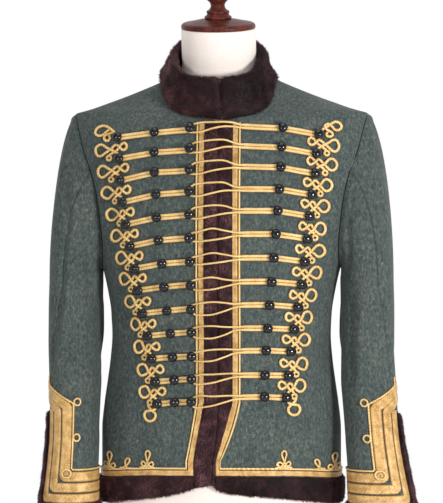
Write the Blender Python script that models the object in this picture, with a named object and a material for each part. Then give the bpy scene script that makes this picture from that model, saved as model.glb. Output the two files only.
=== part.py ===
"""Hussar jacket worn on a limbless countertop dress form.

Sizes below are in millimetres and are turned into metres when a mesh is made.
The jacket faces -Y, the wearer's right is -X, the base stands on z = 0.
"""
import bpy
import bmesh
from math import sin, cos, tan, asin, pi, radians, sqrt
from mathutils import Vector
from mathutils.geometry import delaunay_2d_cdt

for old in list(bpy.data.objects):
    bpy.data.objects.remove(old, do_unlink=True)

MM = 0.001

# Cloth, trims and seams
WALL = 2.0              # wool cloth
SEAM = 0.35             # opening between two sewn pieces
LIFT = 0.9              # a trim's underside over the smooth surface of the cloth
SQ = 2.25               # roundness of the body's level sections, 2 is an ellipse
FUR = 8.0               # fur trim, pile included
FUR_EDGE = 20.5         # outer edge of the front fur strip
LACE_IN, LACE_OUT = 21.0, 33.6
LACE_W = 9.4            # flat lace, the thin cord fills the rest
CORD_H = 2.7            # height of a gold cord

# Frogs
ROWS = 13
BUTTON_R = 7.4
INNER_BUTTON = 42.8
BAR_HALF = 4.6

# Level sections of the body, outer face of the cloth
#        z    half_width  y_front  y_back
BODY = [(200, 182.0, -120.0, 116.0),
        (290, 186.0, -126.0, 122.0),
        (340, 187.0, -124.0, 119.0),
        (402, 187.0, -121.0, 114.0),
        (445, 183.0, -119.0, 109.0),
        (480, 178.0, -117.0, 103.0),
        (515, 173.5, -115.0, 97.0),
        (550, 171.0, -115.0, 94.0),
        (585, 172.5, -118.0, 96.5),
        (620, 178.0, -124.0, 102.0),
        (655, 186.0, -129.0, 109.0),
        (698, 200.0, -130.0, 115.0),
        (734, 209.0, -128.0, 119.0),
        (775, 217.0, -124.0, 120.0),
        (816, 225.0, -116.0, 117.0),
        (852, 230.0, -103.5, 110.0),
        (879, 231.5, -91.0, 103.0),
        (895, 229.5, -76.0, 98.5),
        (903, 204.0, -64.0, 95.5),
        (912, 179.0, -54.0, 92.0),
        (922, 151.5, -45.0, 88.0),
        (933, 124.0, -35.5, 83.5),
        (942, 103.0, -26.5, 79.0),
        (950, 87.5, -17.0, 74.0),
        (960, 80.0, -12.0, 70.0)]

# Armhole, seen from the front
#           z    half_width
ARMHOLE = [(655, 186.0), (663, 183.5), (690, 182.5), (722, 185.0), (762, 190.0),
           (800, 199.0), (838, 213.0), (879, 224.0), (889, 227.0), (895, 229.5)]
ARM_TOP, ARM_LOW = 895.0, 655.0
ARM_ANGLES = [0, 15, 30, 53, 78, 104, 128, 152, 180]

# Neckline of the fronts: height and half width, up to the shoulder ridge
#            z     half_width
NECKLINE = [(878.9, 0.0), (890.9, 56.0), (895, 64.0), (903, 72.0), (912, 77.0),
            (922, 81.0), (933, 83.5), (942, 84.5), (950, 84.0)]

# Edges along the hem by distance from the centre: fur's lower edge, fur's upper edge
#      x    fur_low fur_top
HEM = [(0, 327.0, 341.5), (50, 314.0, 341.0), (100, 306.0, 340.0), (140, 300.0, 337.0),
       (180, 292.0, 331.0), (260, 291.0, 330.0)]

# Sleeve below the armpit
#          z    x_in   x_out  y_mid  half_depth
SLEEVE = [(635, 186.0, 269.0, -7.0, 70.0),
          (588, 186.5, 270.0, -10.0, 66.0),
          (542, 185.5, 269.5, -17.0, 62.0),
          (496, 185.5, 267.0, -29.0, 58.0),
          (450, 186.5, 264.0, -43.0, 53.0),
          (400, 187.0, 262.5, -59.0, 48.0),
          (350, 187.0, 265.5, -71.5, 45.0),
          (310, 186.0, 270.0, -80.0, 44.5),
          (270, 188.0, 275.0, -86.0, 45.0)]
CUFF_END = 270.0
TWIST = -40.0           # turn of the sleeve seams between armpit and wrist, degrees
SEAM_FRONT, SEAM_BACK = 4, 11   # columns of the two sleeve seams

# Frogs by row: how far out each button sits and how high. The left has no inner button: its
# height there is that of the bar behind the loop
#         x_in | right: x_mid x_out z_in z_mid z_out | left: x_mid x_out z_in z_mid z_out
FROGS = [(43.2, (97.3, 154.0, 864.0, 859.7, 853.6), (96.7, 150.2, 868.6, 866.2, 857.3)),
         (42.8, (96.6, 150.3, 832.6, 829.3, 820.8), (94.7, 146.2, 838.4, 836.6, 827.6)),
         (42.2, (95.3, 147.9, 801.4, 799.0, 788.2), (93.4, 144.6, 807.3, 806.4, 797.7)),
         (42.4, (92.6, 143.9, 769.4, 765.8, 755.1), (91.3, 139.2, 773.6, 773.4, 765.9)),
         (42.0, (91.3, 138.5, 735.0, 731.0, 721.4), (88.6, 135.2, 741.0, 741.0, 733.6)),
         (41.8, (88.0, 131.6, 700.2, 697.2, 688.6), (85.8, 131.8, 706.0, 706.4, 699.4)),
         (40.4, (82.7, 124.5, 664.8, 662.0, 654.6), (82.6, 127.4, 670.6, 670.8, 665.2)),
         (39.6, (79.6, 119.6, 630.8, 627.4, 621.6), (79.2, 122.8, 635.1, 635.3, 631.1)),
         (39.3, (75.9, 113.4, 594.6, 591.0, 586.2), (76.1, 117.2, 600.0, 600.0, 596.4)),
         (38.9, (71.0, 105.6, 558.6, 556.0, 551.8), (73.3, 111.6, 564.5, 564.3, 562.2)),
         (38.7, (67.8, 99.4, 521.6, 520.2, 517.2), (71.0, 107.0, 530.2, 530.4, 528.2)),
         (38.6, (65.2, 93.8, 487.4, 485.4, 482.2), (69.4, 103.8, 493.4, 493.2, 491.9)),
         (38.9, (64.4, 90.6, 453.2, 452.0, 449.0), (68.8, 100.9, 460.3, 460.6, 458.6))]

# Below the last frog the open fronts swing to the wearer's right. Signed distance across the
# front as cut, and where it comes to lie at two heights; nothing moves at the third
#        x     at_400 at_364
SWAY = [(-92.0, -92.0, -92.0), (-33.6, -42.0, -49.0), (-21.0, -30.5, -36.5), (0.0, -2.0, -8.6),
        (20.4, 5.6, -4.8), (21.0, 6.4, -4.0), (33.6, 19.5, 4.0), (92.0, 92.0, 92.0)]
SWAY_NONE, SWAY_MID, SWAY_LOW = 452.0, 400.0, 364.0

# Neck of the form: a cylinder that leans forward
NECK_R = 58.2
NECK_LOW = Vector((-1.5, 12.0, 890.0))
NECK_TOP = Vector((-4.0, -20.5, 1028.0))


def table(rows, column, x):
    """Smooth value of a column at x, with no overshoot between rows."""
    pts = sorted((r[0], r[column]) for r in rows)
    if x <= pts[0][0]:
        return pts[0][1]
    if x >= pts[-1][0]:
        return pts[-1][1]
    n = len(pts)
    step = [pts[i + 1][0] - pts[i][0] for i in range(n - 1)]
    rate = [(pts[i + 1][1] - pts[i][1]) / step[i] for i in range(n - 1)]

    def slope(i):
        if i == 0 or i == n - 1:
            return rate[0] if i == 0 else rate[-1]
        a, b = rate[i - 1], rate[i]
        if a * b <= 0:
            return 0.0
        wa, wb = 2 * step[i] + step[i - 1], step[i] + 2 * step[i - 1]
        return (wa + wb) / (wa / a + wb / b)

    k = max(i for i in range(n - 1) if pts[i][0] <= x)
    h, t = step[k], (x - pts[k][0]) / step[k]
    return (pts[k][1] * (1 + 2 * t) * (1 - t) ** 2 + h * slope(k) * t * (1 - t) ** 2
            + pts[k + 1][1] * t * t * (3 - 2 * t) + h * slope(k + 1) * t * t * (t - 1))


def line(rows, column, x):
    """Straight-line value of a column at x."""
    pts = sorted((r[0], r[column]) for r in rows)
    x = min(max(x, pts[0][0]), pts[-1][0])
    for (x0, y0), (x1, y1) in zip(pts, pts[1:]):
        if x <= x1:
            return y0 + (y1 - y0) * (x - x0) / (x1 - x0)


def spow(v, e):
    return (1 if v >= 0 else -1) * abs(v) ** e


def smooth(t):
    t = min(max(t, 0.0), 1.0)
    return t * t * (3 - 2 * t)


# The body's surface: angle a is 0 at the centre front, 90 at the side, 180 at the centre back

def body(a, z):
    s, c = sin(radians(a)), cos(radians(a))
    x = table(BODY, 1, z) * spow(s, 2 / SQ)
    depth = -table(BODY, 2, z) if c >= 0 else table(BODY, 3, z)
    return Vector((x, -depth * spow(c, 2 / SQ), z))


def body_normal(a, z):
    da, dz = 0.8, 1.5
    u = body(a + da, z) - body(a - da, z)
    v = body(a, z + dz) - body(a, z - dz)
    return u.cross(v).normalized()


def angle_at(x, z):
    return asin(min(1.0, (x / table(BODY, 1, z))) ** (SQ / 2)) * 180 / pi


def on_body(a, z, h):
    return body(a, z) + body_normal(a, z) * h


def on_front(x, z, h):
    """Point over the front at a distance x from the centre, on the wearer's left."""
    if x < 0:
        p = on_front(-x, z, h)
        return Vector((-p.x, p.y, p.z))
    return on_body(angle_at(x, z), z, h)


# Mesh helpers

collection = bpy.data.collections.new("hussar_jacket")
bpy.context.scene.collection.children.link(collection)
cutters = bpy.data.collections.new("cutters")
bpy.context.scene.collection.children.link(cutters)
materials = {}


def material(name, rgb, rough, metal=0.0):
    m = bpy.data.materials.new(name)
    m.use_nodes = True
    shader = m.node_tree.nodes["Principled BSDF"]
    shader.inputs["Base Color"].default_value = (*rgb, 1)
    shader.inputs["Roughness"].default_value = rough
    shader.inputs["Metallic"].default_value = metal
    m.diffuse_color = (*rgb, 1)
    materials[name] = m


material("wool", (0.085, 0.125, 0.12), 0.95)
material("fur", (0.075, 0.04, 0.045), 0.9)
material("gold_lace", (0.66, 0.42, 0.12), 0.45, 0.3)
material("gold_cord", (0.78, 0.56, 0.2), 0.45, 0.3)
material("form_cloth", (0.86, 0.8, 0.73), 0.85)
material("mahogany", (0.14, 0.03, 0.02), 0.3)


def mesh_object(name, verts, faces, mat, side=1, flat=False):
    """One closed solid; side -1 mirrors it to the wearer's right."""
    bm = bmesh.new()
    made = [bm.verts.new((v[0] * side, v[1], v[2])) for v in verts]
    for f in faces:
        if len(set(f)) > 2:
            bm.faces.new([made[i] for i in f])
    if not flat:
        bmesh.ops.triangulate(bm, faces=bm.faces[:])
    bmesh.ops.recalc_face_normals(bm, faces=bm.faces[:])
    for v in bm.verts:
        v.co *= MM
    me = bpy.data.meshes.new(name)
    bm.to_mesh(me)
    bm.free()
    me.materials.append(materials[mat])
    ob = bpy.data.objects.new(name, me)
    collection.objects.link(ob)
    return ob


def wall(outer, inner, closed=False):
    """Vertices and faces of a wall between two grids of points, rows of equal length."""
    rows, cols = len(outer), len(outer[0])
    verts = [p for row in outer for p in row] + [p for row in inner for p in row]
    n = rows * cols
    wrap = cols if closed else cols - 1
    faces = []
    for i in range(rows - 1):
        for j in range(wrap):
            a, b = i * cols + j, i * cols + (j + 1) % cols
            c, d = a + cols, b + cols
            faces += [(a, b, d, c), (n + a, n + c, n + d, n + b)]
    for j in range(wrap):
        a, b = j, (j + 1) % cols
        faces.append((a, n + a, n + b, b))
        a, b = a + (rows - 1) * cols, b + (rows - 1) * cols
        faces.append((a, b, n + b, n + a))
    if not closed:
        for i in range(rows - 1):
            a, c = i * cols, (i + 1) * cols
            faces.append((a, c, n + c, n + a))
            a, c = a + cols - 1, c + cols - 1
            faces.append((a, n + a, n + c, c))
    return verts, faces


def loft(rings, closed=False):
    """Vertices and faces of a solid through rings of equal length, capped unless closed."""
    k = len(rings[0])
    verts = [p for ring in rings for p in ring]
    faces = []
    for i in range(len(rings) if closed else len(rings) - 1):
        m = (i + 1) % len(rings)
        for j in range(k):
            faces.append((i * k + j, i * k + (j + 1) % k, m * k + (j + 1) % k, m * k + j))
    if not closed:
        faces.append(tuple(range(k - 1, -1, -1)))
        faces.append(tuple((len(rings) - 1) * k + j for j in range(k)))
    return verts, faces


def turned(profile, centre, axis, sides):
    """A turned solid: profile of radius and height along the axis, ends closed flat."""
    axis = axis.normalized()
    u = Vector((1, 0, 0))
    v = axis.cross(u)
    return loft([[centre + axis * h + (u * cos(2 * pi * k / sides) + v * sin(2 * pi * k / sides)) * r
                  for k in range(sides)] for r, h in profile])


def fuse(base, extras):
    """Unite solids with the exact solver, in the order given."""
    for e in extras:
        for c in list(e.users_collection):
            c.objects.unlink(e)
        cutters.objects.link(e)
        e.hide_render = True
        e.display_type = "WIRE"
        mod = base.modifiers.new("fuse", "BOOLEAN")
        mod.operation = "UNION"
        mod.solver = "EXACT"
        mod.object = e
    graph = bpy.context.evaluated_depsgraph_get()
    graph.update()
    me = bpy.data.meshes.new_from_object(base.evaluated_get(graph))
    old = base.data
    base.modifiers.clear()
    base.data = me
    bpy.data.meshes.remove(old)
    for e in extras:
        old = e.data
        bpy.data.objects.remove(e, do_unlink=True)
        bpy.data.meshes.remove(old)
    return base


def lay(ob, side, place):
    """Move a solid drawn flat, as (out, up, height) in mm, onto the jacket."""
    bm = bmesh.new()
    bm.from_mesh(ob.data)
    bmesh.ops.triangulate(bm, faces=bm.faces[:])
    for v in bm.verts:
        p = place(v.co.x / MM, v.co.y / MM, v.co.z / MM)
        v.co = Vector((p.x * side, p.y, p.z)) * MM
    # Drawn flat, the height points at the viewer; on the front it points along -Y
    if bm.calc_volume(signed=True) < 0:
        bmesh.ops.reverse_faces(bm, faces=bm.faces[:])
    bm.to_mesh(ob.data)
    bm.free()
    return ob


def sway(x, z):
    """Where a point of the front at height z comes to lie, x being signed."""
    if z >= SWAY_NONE or abs(x) >= SWAY[-1][0]:
        return x
    mid, low = line(SWAY, 1, x), line(SWAY, 2, x)
    if z >= SWAY_MID:
        return x + (mid - x) * (SWAY_NONE - z) / (SWAY_NONE - SWAY_MID)
    return mid + (low - mid) * min(1.0, (SWAY_MID - z) / (SWAY_MID - SWAY_LOW))


def swing(ob):
    """Let a piece of the front hang with the open edges."""
    for v in ob.data.vertices:
        if v.co.y < 0:
            v.co.x = sway(v.co.x / MM, v.co.z / MM) * MM
    return ob


# Body panels

def arm_point(phi):
    """Armhole edge: phi 0 at the shoulder tip, 90 at the front, 180 at the armpit, 270 at the back."""
    z = (ARM_TOP + ARM_LOW) / 2 + (ARM_TOP - ARM_LOW) / 2 * cos(radians(phi))
    z = min(max(z, ARM_LOW), ARM_TOP)
    a = 90.0 if phi % 180 == 0 else angle_at(table(ARMHOLE, 1, z), z)
    if sin(radians(phi)) < 0:
        a = 180 - a
    return a, z


SHOULDER_ROWS = [950, 938, 921, 905]
LOWER_ROWS = [620, 582, 545, 500, 452]
HEM_STEPS = [1.0, 0.55, 0.0]


def hem_z(a, z_ref, column):
    x = body(min(a, 90), z_ref).x if a < 90 else 260
    return line(HEM, column, x)


def panel_rows(front):
    """Each row as a function of q from 0 (centre) to 1 (side), giving (a, z)."""
    rows = []
    for z in SHOULDER_ROWS:
        a0 = angle_at(table(NECKLINE, 1, z), z) if front else 180.0
        rows.append(lambda q, a0=a0, z=z: (a0 + (90.0 - a0) * q, z))
    for phi in ARM_ANGLES:
        a1, z = arm_point(phi)
        a0 = 0.0 if front else 180.0
        if front and z > NECKLINE[0][0]:
            a0 = angle_at(table(NECKLINE, 1, z), z)
        a1 = a1 if front else 180 - a1
        rows.append(lambda q, a0=a0, a1=a1, z=z: (a0 + (a1 - a0) * q, z))
    a0 = 0.0 if front else 180.0
    for z in LOWER_ROWS:
        rows.append(lambda q, z=z: (a0 + (90.0 - a0) * q, z))
    for f in HEM_STEPS:
        def low(q, f=f):
            a = a0 + (90.0 - a0) * q
            bottom = hem_z(a, 310, 1) + 1.5
            return a, bottom + (400.0 - bottom) * f
        rows.append(low)
    return rows


def panel_grids(front, cols):
    outer, inner = [], []
    for row in panel_rows(front):
        o, i = [], []
        for k in range(cols + 1):
            a, z = row(k / cols)
            p, n = body(a, z), body_normal(a, z)
            shift = Vector((0, 0, 0))
            if k == 0 and (a < 0.01 or a > 179.99):
                shift.x = SEAM / 2
            if k == cols and (z >= ARM_TOP - 0.01 or z <= ARM_LOW + 0.01):
                shift.y = -SEAM / 2 if front else SEAM / 2
            o.append(p + shift)
            i.append(p + shift - n * WALL)
        outer.append(o)
        inner.append(i)
    return outer, inner


FRONT_COLS, BACK_COLS = 7, 4
for side, name in ((-1, "right"), (1, "left")):
    swing(mesh_object("front_" + name, *wall(*panel_grids(True, FRONT_COLS)), "wool", side))
    mesh_object("back_" + name, *wall(*panel_grids(False, BACK_COLS)), "wool", side)


# Sleeves

# The wearer's left forearm stands further out and its cuff is held wider: by height,
# how far its inner side and how much more its outer side lies out
FLARE = [(270, 14.0, 12.5), (470, 1.0, 5.5), (525, 0.0, 0.0)]
flared = False


def sleeve_ring(phi, z):
    """Point of the sleeve's level section at height z; phi 0 is outside, 90 in front."""
    x0, x1 = table(SLEEVE, 1, z), table(SLEEVE, 2, z)
    if flared and z < FLARE[-1][0]:
        x0, x1 = x0 + line(FLARE, 1, z), x1 + line(FLARE, 1, z) + line(FLARE, 2, z)
    s, c = sin(radians(phi)), cos(radians(phi))
    e = 2 / 2.2
    return Vector(((x0 + x1) / 2 + (x1 - x0) / 2 * spow(c, e),
                   table(SLEEVE, 3, z) - table(SLEEVE, 4, z) * spow(s, e), z))


def twist(z):
    return TWIST * smooth((690.0 - z) / 225.0)


def arm_frame(phi):
    """At the armhole edge: point, the cloth's normal, and the way out along the cloth."""
    a, z = arm_point(phi)
    p, n = body(a, z), body_normal(a, z)
    along = body(*arm_point(phi + 2)) - body(*arm_point(phi - 2))
    out = along.cross(n).normalized()
    centre = Vector((150, 0, 775))
    if phi < 175 or phi > 185:
        if out.dot(Vector((1, 0, 0))) < 0:
            out = -out
    else:
        out = Vector((0, 0, 1))
    return p, n, out


def arm_fold(phi):
    return radians(15 + 80 * (1 - cos(radians(phi))) / 2)


def sleeve(phi, v):
    """v 0 to 1 runs over the sleeve head, 1 to 2 down to the cuff's end."""
    phi = phi % 360
    if v >= 1:
        z = SLEEVE[0][0] - (v - 1) * (SLEEVE[0][0] - CUFF_END)
        return sleeve_ring(phi + twist(z), z)
    p, n, out = arm_frame(phi)
    fold = arm_fold(phi)
    way = out * cos(fold) + n * sin(fold)
    end = sleeve_ring(phi + twist(SLEEVE[0][0]), SLEEVE[0][0])
    c1 = p + way * (6 + 17 * (p.z - ARM_LOW) / (ARM_TOP - ARM_LOW))
    c2 = end + Vector((0, 0, 0.56 * (p.z - end.z)))
    t = v
    return p * (1 - t) ** 3 + c1 * 3 * t * (1 - t) ** 2 + c2 * 3 * t * t * (1 - t) + end * t ** 3


def sleeve_normal(phi, v):
    if v == 0:
        p, n, out = arm_frame(phi)
        fold = arm_fold(phi)
        return (n * cos(fold) - out * sin(fold)).normalized()
    u = sleeve(phi + 1.5, v) - sleeve(phi - 1.5, v)
    w = sleeve(phi, v + 0.01) - sleeve(phi, v - 0.01)
    return u.cross(w).normalized()


HEAD_STEPS = [0, 0.14, 0.38, 0.7, 1.0]
SLEEVE_LEVELS = [582, 525, 470, 415, 350, CUFF_END]
SLEEVE_V = HEAD_STEPS + [1 + (635 - z) / (635 - CUFF_END) for z in SLEEVE_LEVELS]
SLEEVE_PHI = ARM_ANGLES + [360 - a for a in ARM_ANGLES[-2:0:-1]]


def sleeve_grids(columns, sign):
    """Columns of the ring in order; sign +1 or -1 for the way the ends are parted."""
    outer, inner = [], []
    for v in SLEEVE_V:
        o, i = [], []
        for k, j in enumerate(columns):
            phi = SLEEVE_PHI[j % len(SLEEVE_PHI)]
            p, n = sleeve(phi, v), sleeve_normal(phi, v)
            if v == 0:
                q, body_n, out = arm_frame(phi)
                half = arm_fold(phi) / 2
                p = p + (out * cos(half) + body_n * sin(half)) * SEAM
            shift = Vector((0, 0, 0))
            if k in (0, len(columns) - 1):
                u = sleeve(phi + 1.5, max(v, 0.02)) - sleeve(phi - 1.5, max(v, 0.02))
                shift = u.normalized() * (SEAM / 2) * (1 if k == 0 else -1)
            o.append(p + shift)
            i.append(p + shift + n * WALL * -1)
        outer.append(o)
        inner.append(i)
    return outer, inner


RING = len(SLEEVE_PHI)
under_columns = list(range(SEAM_FRONT, SEAM_BACK + 1))
top_columns = list(range(SEAM_BACK, SEAM_FRONT + RING + 1))
for side, name in ((-1, "right"), (1, "left")):
    flared = side > 0
    mesh_object("sleeve_top_" + name, *wall(*sleeve_grids(top_columns, 1)), "wool", side)
    mesh_object("sleeve_under_" + name, *wall(*sleeve_grids(under_columns, 1)), "wool", side)


# Stand collar: from the neckline up to a ring that leans forward with the neck

COLLAR = 9.0            # fur over its cloth
COLLAR_MID = Vector((-4.0, -23.0, 987.0))
COLLAR_HALF = (73.0, 71.0)
COLLAR_LEAN = 0.613
COLLAR_FULL = 1.6       # how much more it swells on the right than at the front, and less on the left
half_ring = []
for row in panel_rows(True):
    a, z = row(0)
    if z >= NECKLINE[0][0] - 1:
        half_ring.append(body(a, z))
half_ring.sort(key=lambda p: p.z)
half_ring += [body(a, 950.0) for a in (106, 126, 150)]
half_ring.append(body(180, 950.0))
# The open ends stand a seam apart at the centre front; the centre back is whole
ring_pts = [Vector((-p.x, p.y, p.z)) for p in half_ring[:-1]]
ring_pts = half_ring + ring_pts[::-1]


def collar_sections(pts, levels):
    """Inner and outer points of the collar for each point of the neckline."""
    outer, inner = [], []
    for t, bulge in levels:
        o, i = [], []
        for k, p in enumerate(pts):
            way = Vector((p.x, p.y + 5, 0)).normalized()
            ang = (way.x, way.y)
            top = Vector((COLLAR_MID.x + COLLAR_HALF[0] * ang[0], COLLAR_MID.y + COLLAR_HALF[1] * ang[1], 0))
            top.z = COLLAR_MID.z + (top.y - COLLAR_MID.y) * COLLAR_LEAN
            low = p + Vector((0, 0, 0.5))
            q = low.lerp(top, t) + way * bulge * (1 - COLLAR_FULL * ang[0])
            if k == 0:
                q.x += SEAM
            if k == len(pts) - 1:
                q.x -= SEAM
            o.append(q + way * COLLAR / 2)
            i.append(q - way * COLLAR / 2)
        outer.append(o)
        inner.append(i)
    return outer, inner


mesh_object("collar", *wall(*collar_sections(ring_pts, [(0, 0), (0.42, 2.2), (1, 0)])), "fur")


# Fur strips down the front edges

STRIP = [(0.4, 0.0), (0.4, FUR), (FUR_EDGE - 4.5, FUR - 0.2), (FUR_EDGE, FUR - 3.2),
         (FUR_EDGE, 0.0)]
front_levels = [871.0] + [arm_point(a)[1] for a in ARM_ANGLES[3:]] + LOWER_ROWS + [SWAY_MID, SWAY_LOW]


def fur_low(x):
    return line(HEM, 1, x)


for side, name in ((-1, "right"), (1, "left")):
    rings = []
    for z in front_levels:
        rings.append([on_front(x, z, LIFT + h) for x, h in STRIP])
    rings.append([on_front(x, fur_low(x) + 0.4, LIFT + h) for x, h in STRIP])
    swing(mesh_object("fur_front_" + name, *loft(rings), "fur", side))

# Fur round the hem, from the front strip to the centre back

hem_angles = [90 * k / FRONT_COLS for k in range(1, FRONT_COLS + 1)]
hem_angles += [90 + 90 * k / BACK_COLS for k in range(1, BACK_COLS + 1)]


def hem_point(a, t, h, column_low=1, column_top=2):
    low, top = hem_z(a, 310, column_low), hem_z(a, 310, column_top)
    return on_body(a, low + (top - low) * t, h)


HEM_FUR = [(0.0, 0.0), (0.0, FUR - 3.0), (0.18, FUR), (0.85, FUR - 0.3), (1.0, FUR - 3.5), (1.0, 0.0)]
start = angle_at(FUR_EDGE + 0.5, 320)
for side, name in ((-1, "right"), (1, "left")):
    rings = []
    for a in [start] + hem_angles:
        ring = [hem_point(a, t, LIFT + h) for t, h in HEM_FUR]
        if a == 180:
            ring = [p + Vector((SEAM, 0, 0)) for p in ring]
        rings.append(ring)
    swing(mesh_object("fur_hem_" + name, *loft(rings), "fur", side))

# Gold lace with its thin cord: down the front, round the corner, along the hem

LACE = [(0.0, 0.0), (0.0, 1.5), (LACE_W, 1.2), (LACE_W + 1.0, 2.2),
        (LACE_OUT - LACE_IN, 2.0), (LACE_OUT - LACE_IN, 0.0)]


def lace_rings(side):
    rings = []
    for z in [874.0] + front_levels[1:]:
        rings.append([on_front(LACE_IN + w, z, LIFT + h) for w, h in LACE])
    rings.append([on_front(LACE_IN + w, line(HEM, 2, LACE_IN + w) + 0.6 + w, LIFT + h) for w, h in LACE])
    for a in hem_angles:
        if body(a, 345).x < LACE_OUT + 4 and a < 90:
            continue
        ring = []
        for w, h in LACE:
            ring.append(on_body(a, hem_z(a, 345, 2) + 0.6 + w, LIFT + h))
        if a == 180:
            ring = [p + Vector((SEAM, 0, 0)) for p in ring]
        rings.append(ring)
    return rings


def inside(poly, x, y):
    hit = False
    for (x0, y0), (x1, y1) in zip(poly, poly[1:] + poly[:1]):
        if (y0 > y) != (y1 > y) and x < x0 + (x1 - x0) * (y - y0) / (y1 - y0):
            hit = not hit
    return hit


def oval(u, w, ru, rw, tilt, sides, turn=0.0):
    pts = []
    for k in range(sides):
        ang = 2 * pi * (k + turn) / sides
        x, y = ru * cos(ang), rw * sin(ang)
        pts.append((u + x * cos(tilt) - y * sin(tilt), w + x * sin(tilt) + y * cos(tilt)))
    return pts


def cord_ring(u, w, ru, rw, tilt, sides, holes, half=2.1, turn=0.3):
    return (oval(u, w, ru + half, rw + half, tilt, sides, turn),
            oval(u, w, ru - half, rw - half, tilt, holes, turn))


def cord_run(points, half=2.0):
    """Straight pieces of cord between points, each as a four-cornered shape."""
    out = []
    for (u0, w0), (u1, w1) in zip(points, points[1:]):
        size = sqrt((u1 - u0) ** 2 + (w1 - w0) ** 2)
        nu, nw = -(w1 - w0) / size * half, (u1 - u0) / size * half
        eu, ew = nw * 0.6, -nu * 0.6
        out.append(([(u0 + nu - eu, w0 + nw - ew), (u0 - nu - eu, w0 - nw - ew),
                     (u1 - nu + eu, w1 - nw + ew), (u1 + nu + eu, w1 + nw + ew)], None))
    return out


def cdt_region(loops, keep):
    verts, edges = [], []
    for loop in loops:
        n = len(verts)
        verts += [Vector(p) for p in loop]
        edges += [(n + k, n + (k + 1) % len(loop)) for k in range(len(loop))]
    co, _, faces, *_ = delaunay_2d_cdt(verts, edges, [], 1, 1e-4)
    out = []
    for f in faces:
        x = sum(co[i][0] for i in f) / len(f)
        y = sum(co[i][1] for i in f) / len(f)
        if keep(x, y):
            out.append(tuple(f))
    return co, out


def flat_union(name, shapes, low, high, mat, trim=0.45):
    """One flat solid that covers all shapes, each an outline with or without a hole."""
    def covered(x, y):
        return any(inside(o, x, y) and not (h and inside(h, x, y)) for o, h in shapes)

    co, faces = cdt_region([s for o, h in shapes for s in (o, h) if s], covered)
    used = {}
    for f in faces:
        for a, b in zip(f, f[1:] + f[:1]):
            used[(a, b)] = True
    border = {a: b for a, b in used if (b, a) not in used}
    loops = []
    while border:
        first, loop = next(iter(border)), []
        k = first
        while k in border:
            loop.append((co[k][0], co[k][1]))
            k = border.pop(k)
        loops.append(loop)
    # Corners that hardly turn the outline are left out
    neat = []
    for loop in loops:
        k = 0
        while len(loop) > 4 and k < len(loop):
            (x0, y0), (x1, y1), (x2, y2) = loop[k - 1], loop[k], loop[(k + 1) % len(loop)]
            base = sqrt((x2 - x0) ** 2 + (y2 - y0) ** 2)
            off = abs((x2 - x0) * (y1 - y0) - (y2 - y0) * (x1 - x0)) / max(base, 1e-6)
            if off < trim:
                loop.pop(k)
            else:
                k += 1
        neat.append(loop)

    def filled(x, y):
        return sum(inside(loop, x, y) for loop in neat) % 2 == 1

    co, faces = cdt_region(neat, filled)
    used = set((a, b) for f in faces for a, b in zip(f, f[1:] + f[:1]))
    n = len(co)
    verts = [Vector((p[0], p[1], low)) for p in co] + [Vector((p[0], p[1], high)) for p in co]
    solid = [tuple(reversed(f)) for f in faces] + [tuple(i + n for i in f) for f in faces]
    solid += [(a, b, b + n, a + n) for a, b in used if (b, a) not in used]
    return mesh_object(name, verts, solid, mat, 1, flat=True)


HEM_LOOPS = [("trefoil", 104.0), ("loop", 143.0), ("trefoil", 166.0)]


def hem_ornament(kind, x):
    """Small cord loops that stand on the hem's thin cord."""
    z = line(HEM, 2, x) + 0.6 + (LACE_OUT - LACE_IN)
    if kind == "loop":
        shapes = [(oval(x, z + 6.0, 4.9, 7.9, -0.35, 6, 0.5), None)]
    else:
        shapes = [(oval(x, z + 11.5, 4.5, 9.9, 0.0, 6, 0.5), None),
                  (oval(x - 5.0, z + 3.2, 5.4, 4.9, 0.5, 5, 0.3), None),
                  (oval(x + 5.0, z + 3.4, 5.4, 4.9, -0.5, 5, 0.2), None)]
    bit = flat_union("bit", shapes, 0.2, 2.0, "gold_lace", 0.8)
    return lay(bit, 1, lambda u, w, h: on_front(u, w, LIFT + h))


for side, name in ((-1, "right"), (1, "left")):
    lace = mesh_object("lace_" + name, *loft(lace_rings(side)), "gold_lace", 1)
    bits = []
    for kind, x in HEM_LOOPS:
        bits.append(hem_ornament(kind, x))
    fuse(lace, bits)
    for v in lace.data.vertices:
        v.co.x *= side
    if side < 0:
        lace.data.flip_normals()
    swing(lace)


# Frogs

def frog_path(side):
    """Rows as the out and up places of the inner, middle and outer button."""
    out = []
    for x_in, right, left in FROGS:
        x_mid, x_out, z_in, z_mid, z_out = right if side < 0 else left
        out.append(((x_in if side < 0 else INNER_BUTTON, z_in), (x_mid, z_mid), (x_out, z_out)))
    return out


def bar_level(points, u):
    (u0, w0), (u1, w1), (u2, w2) = points
    if u <= u1:
        return w0 + (w1 - w0) * (u - u0) / (u1 - u0)
    return w1 + (w2 - w1) * (u - u1) / (u2 - u1)


BAR = [(-BAR_HALF, 0.0), (-BAR_HALF + 1.0, 2.6), (BAR_HALF - 1.0, 2.6), (BAR_HALF, 0.0)]
BUTTON = [(5.8, 1.6), (BUTTON_R, 5.2), (4.6, 10.4)]
LOOP_H = 2.5
# Rows that are seated lower, because the flat faces of the cloth lie deeper there
ROW_DROP = {2: 1.05}
BAR_START = 36.0


def flat_bar(points, start, end, steps, drop=0.0):
    rings = []
    for k in range(steps + 1):
        u = start + (end - start) * k / steps
        rings.append([Vector((u, bar_level(points, u) + d, h - drop)) for d, h in BAR])
    return mesh_object("bar", *loft(rings), "gold_cord", 1, flat=True)


def flat_button(u, w, lift=0.0, shank=False):
    profile = [(r, h + lift) for r, h in BUTTON]
    if shank:
        profile = [(1.9, 1.2), (1.9, BUTTON[0][1] + lift)] + profile[1:]
    return mesh_object("button", *turned(profile, Vector((u, w, 0)), Vector((0, 0, 1)), 6),
                       "gold_cord", 1, flat=True)


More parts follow.
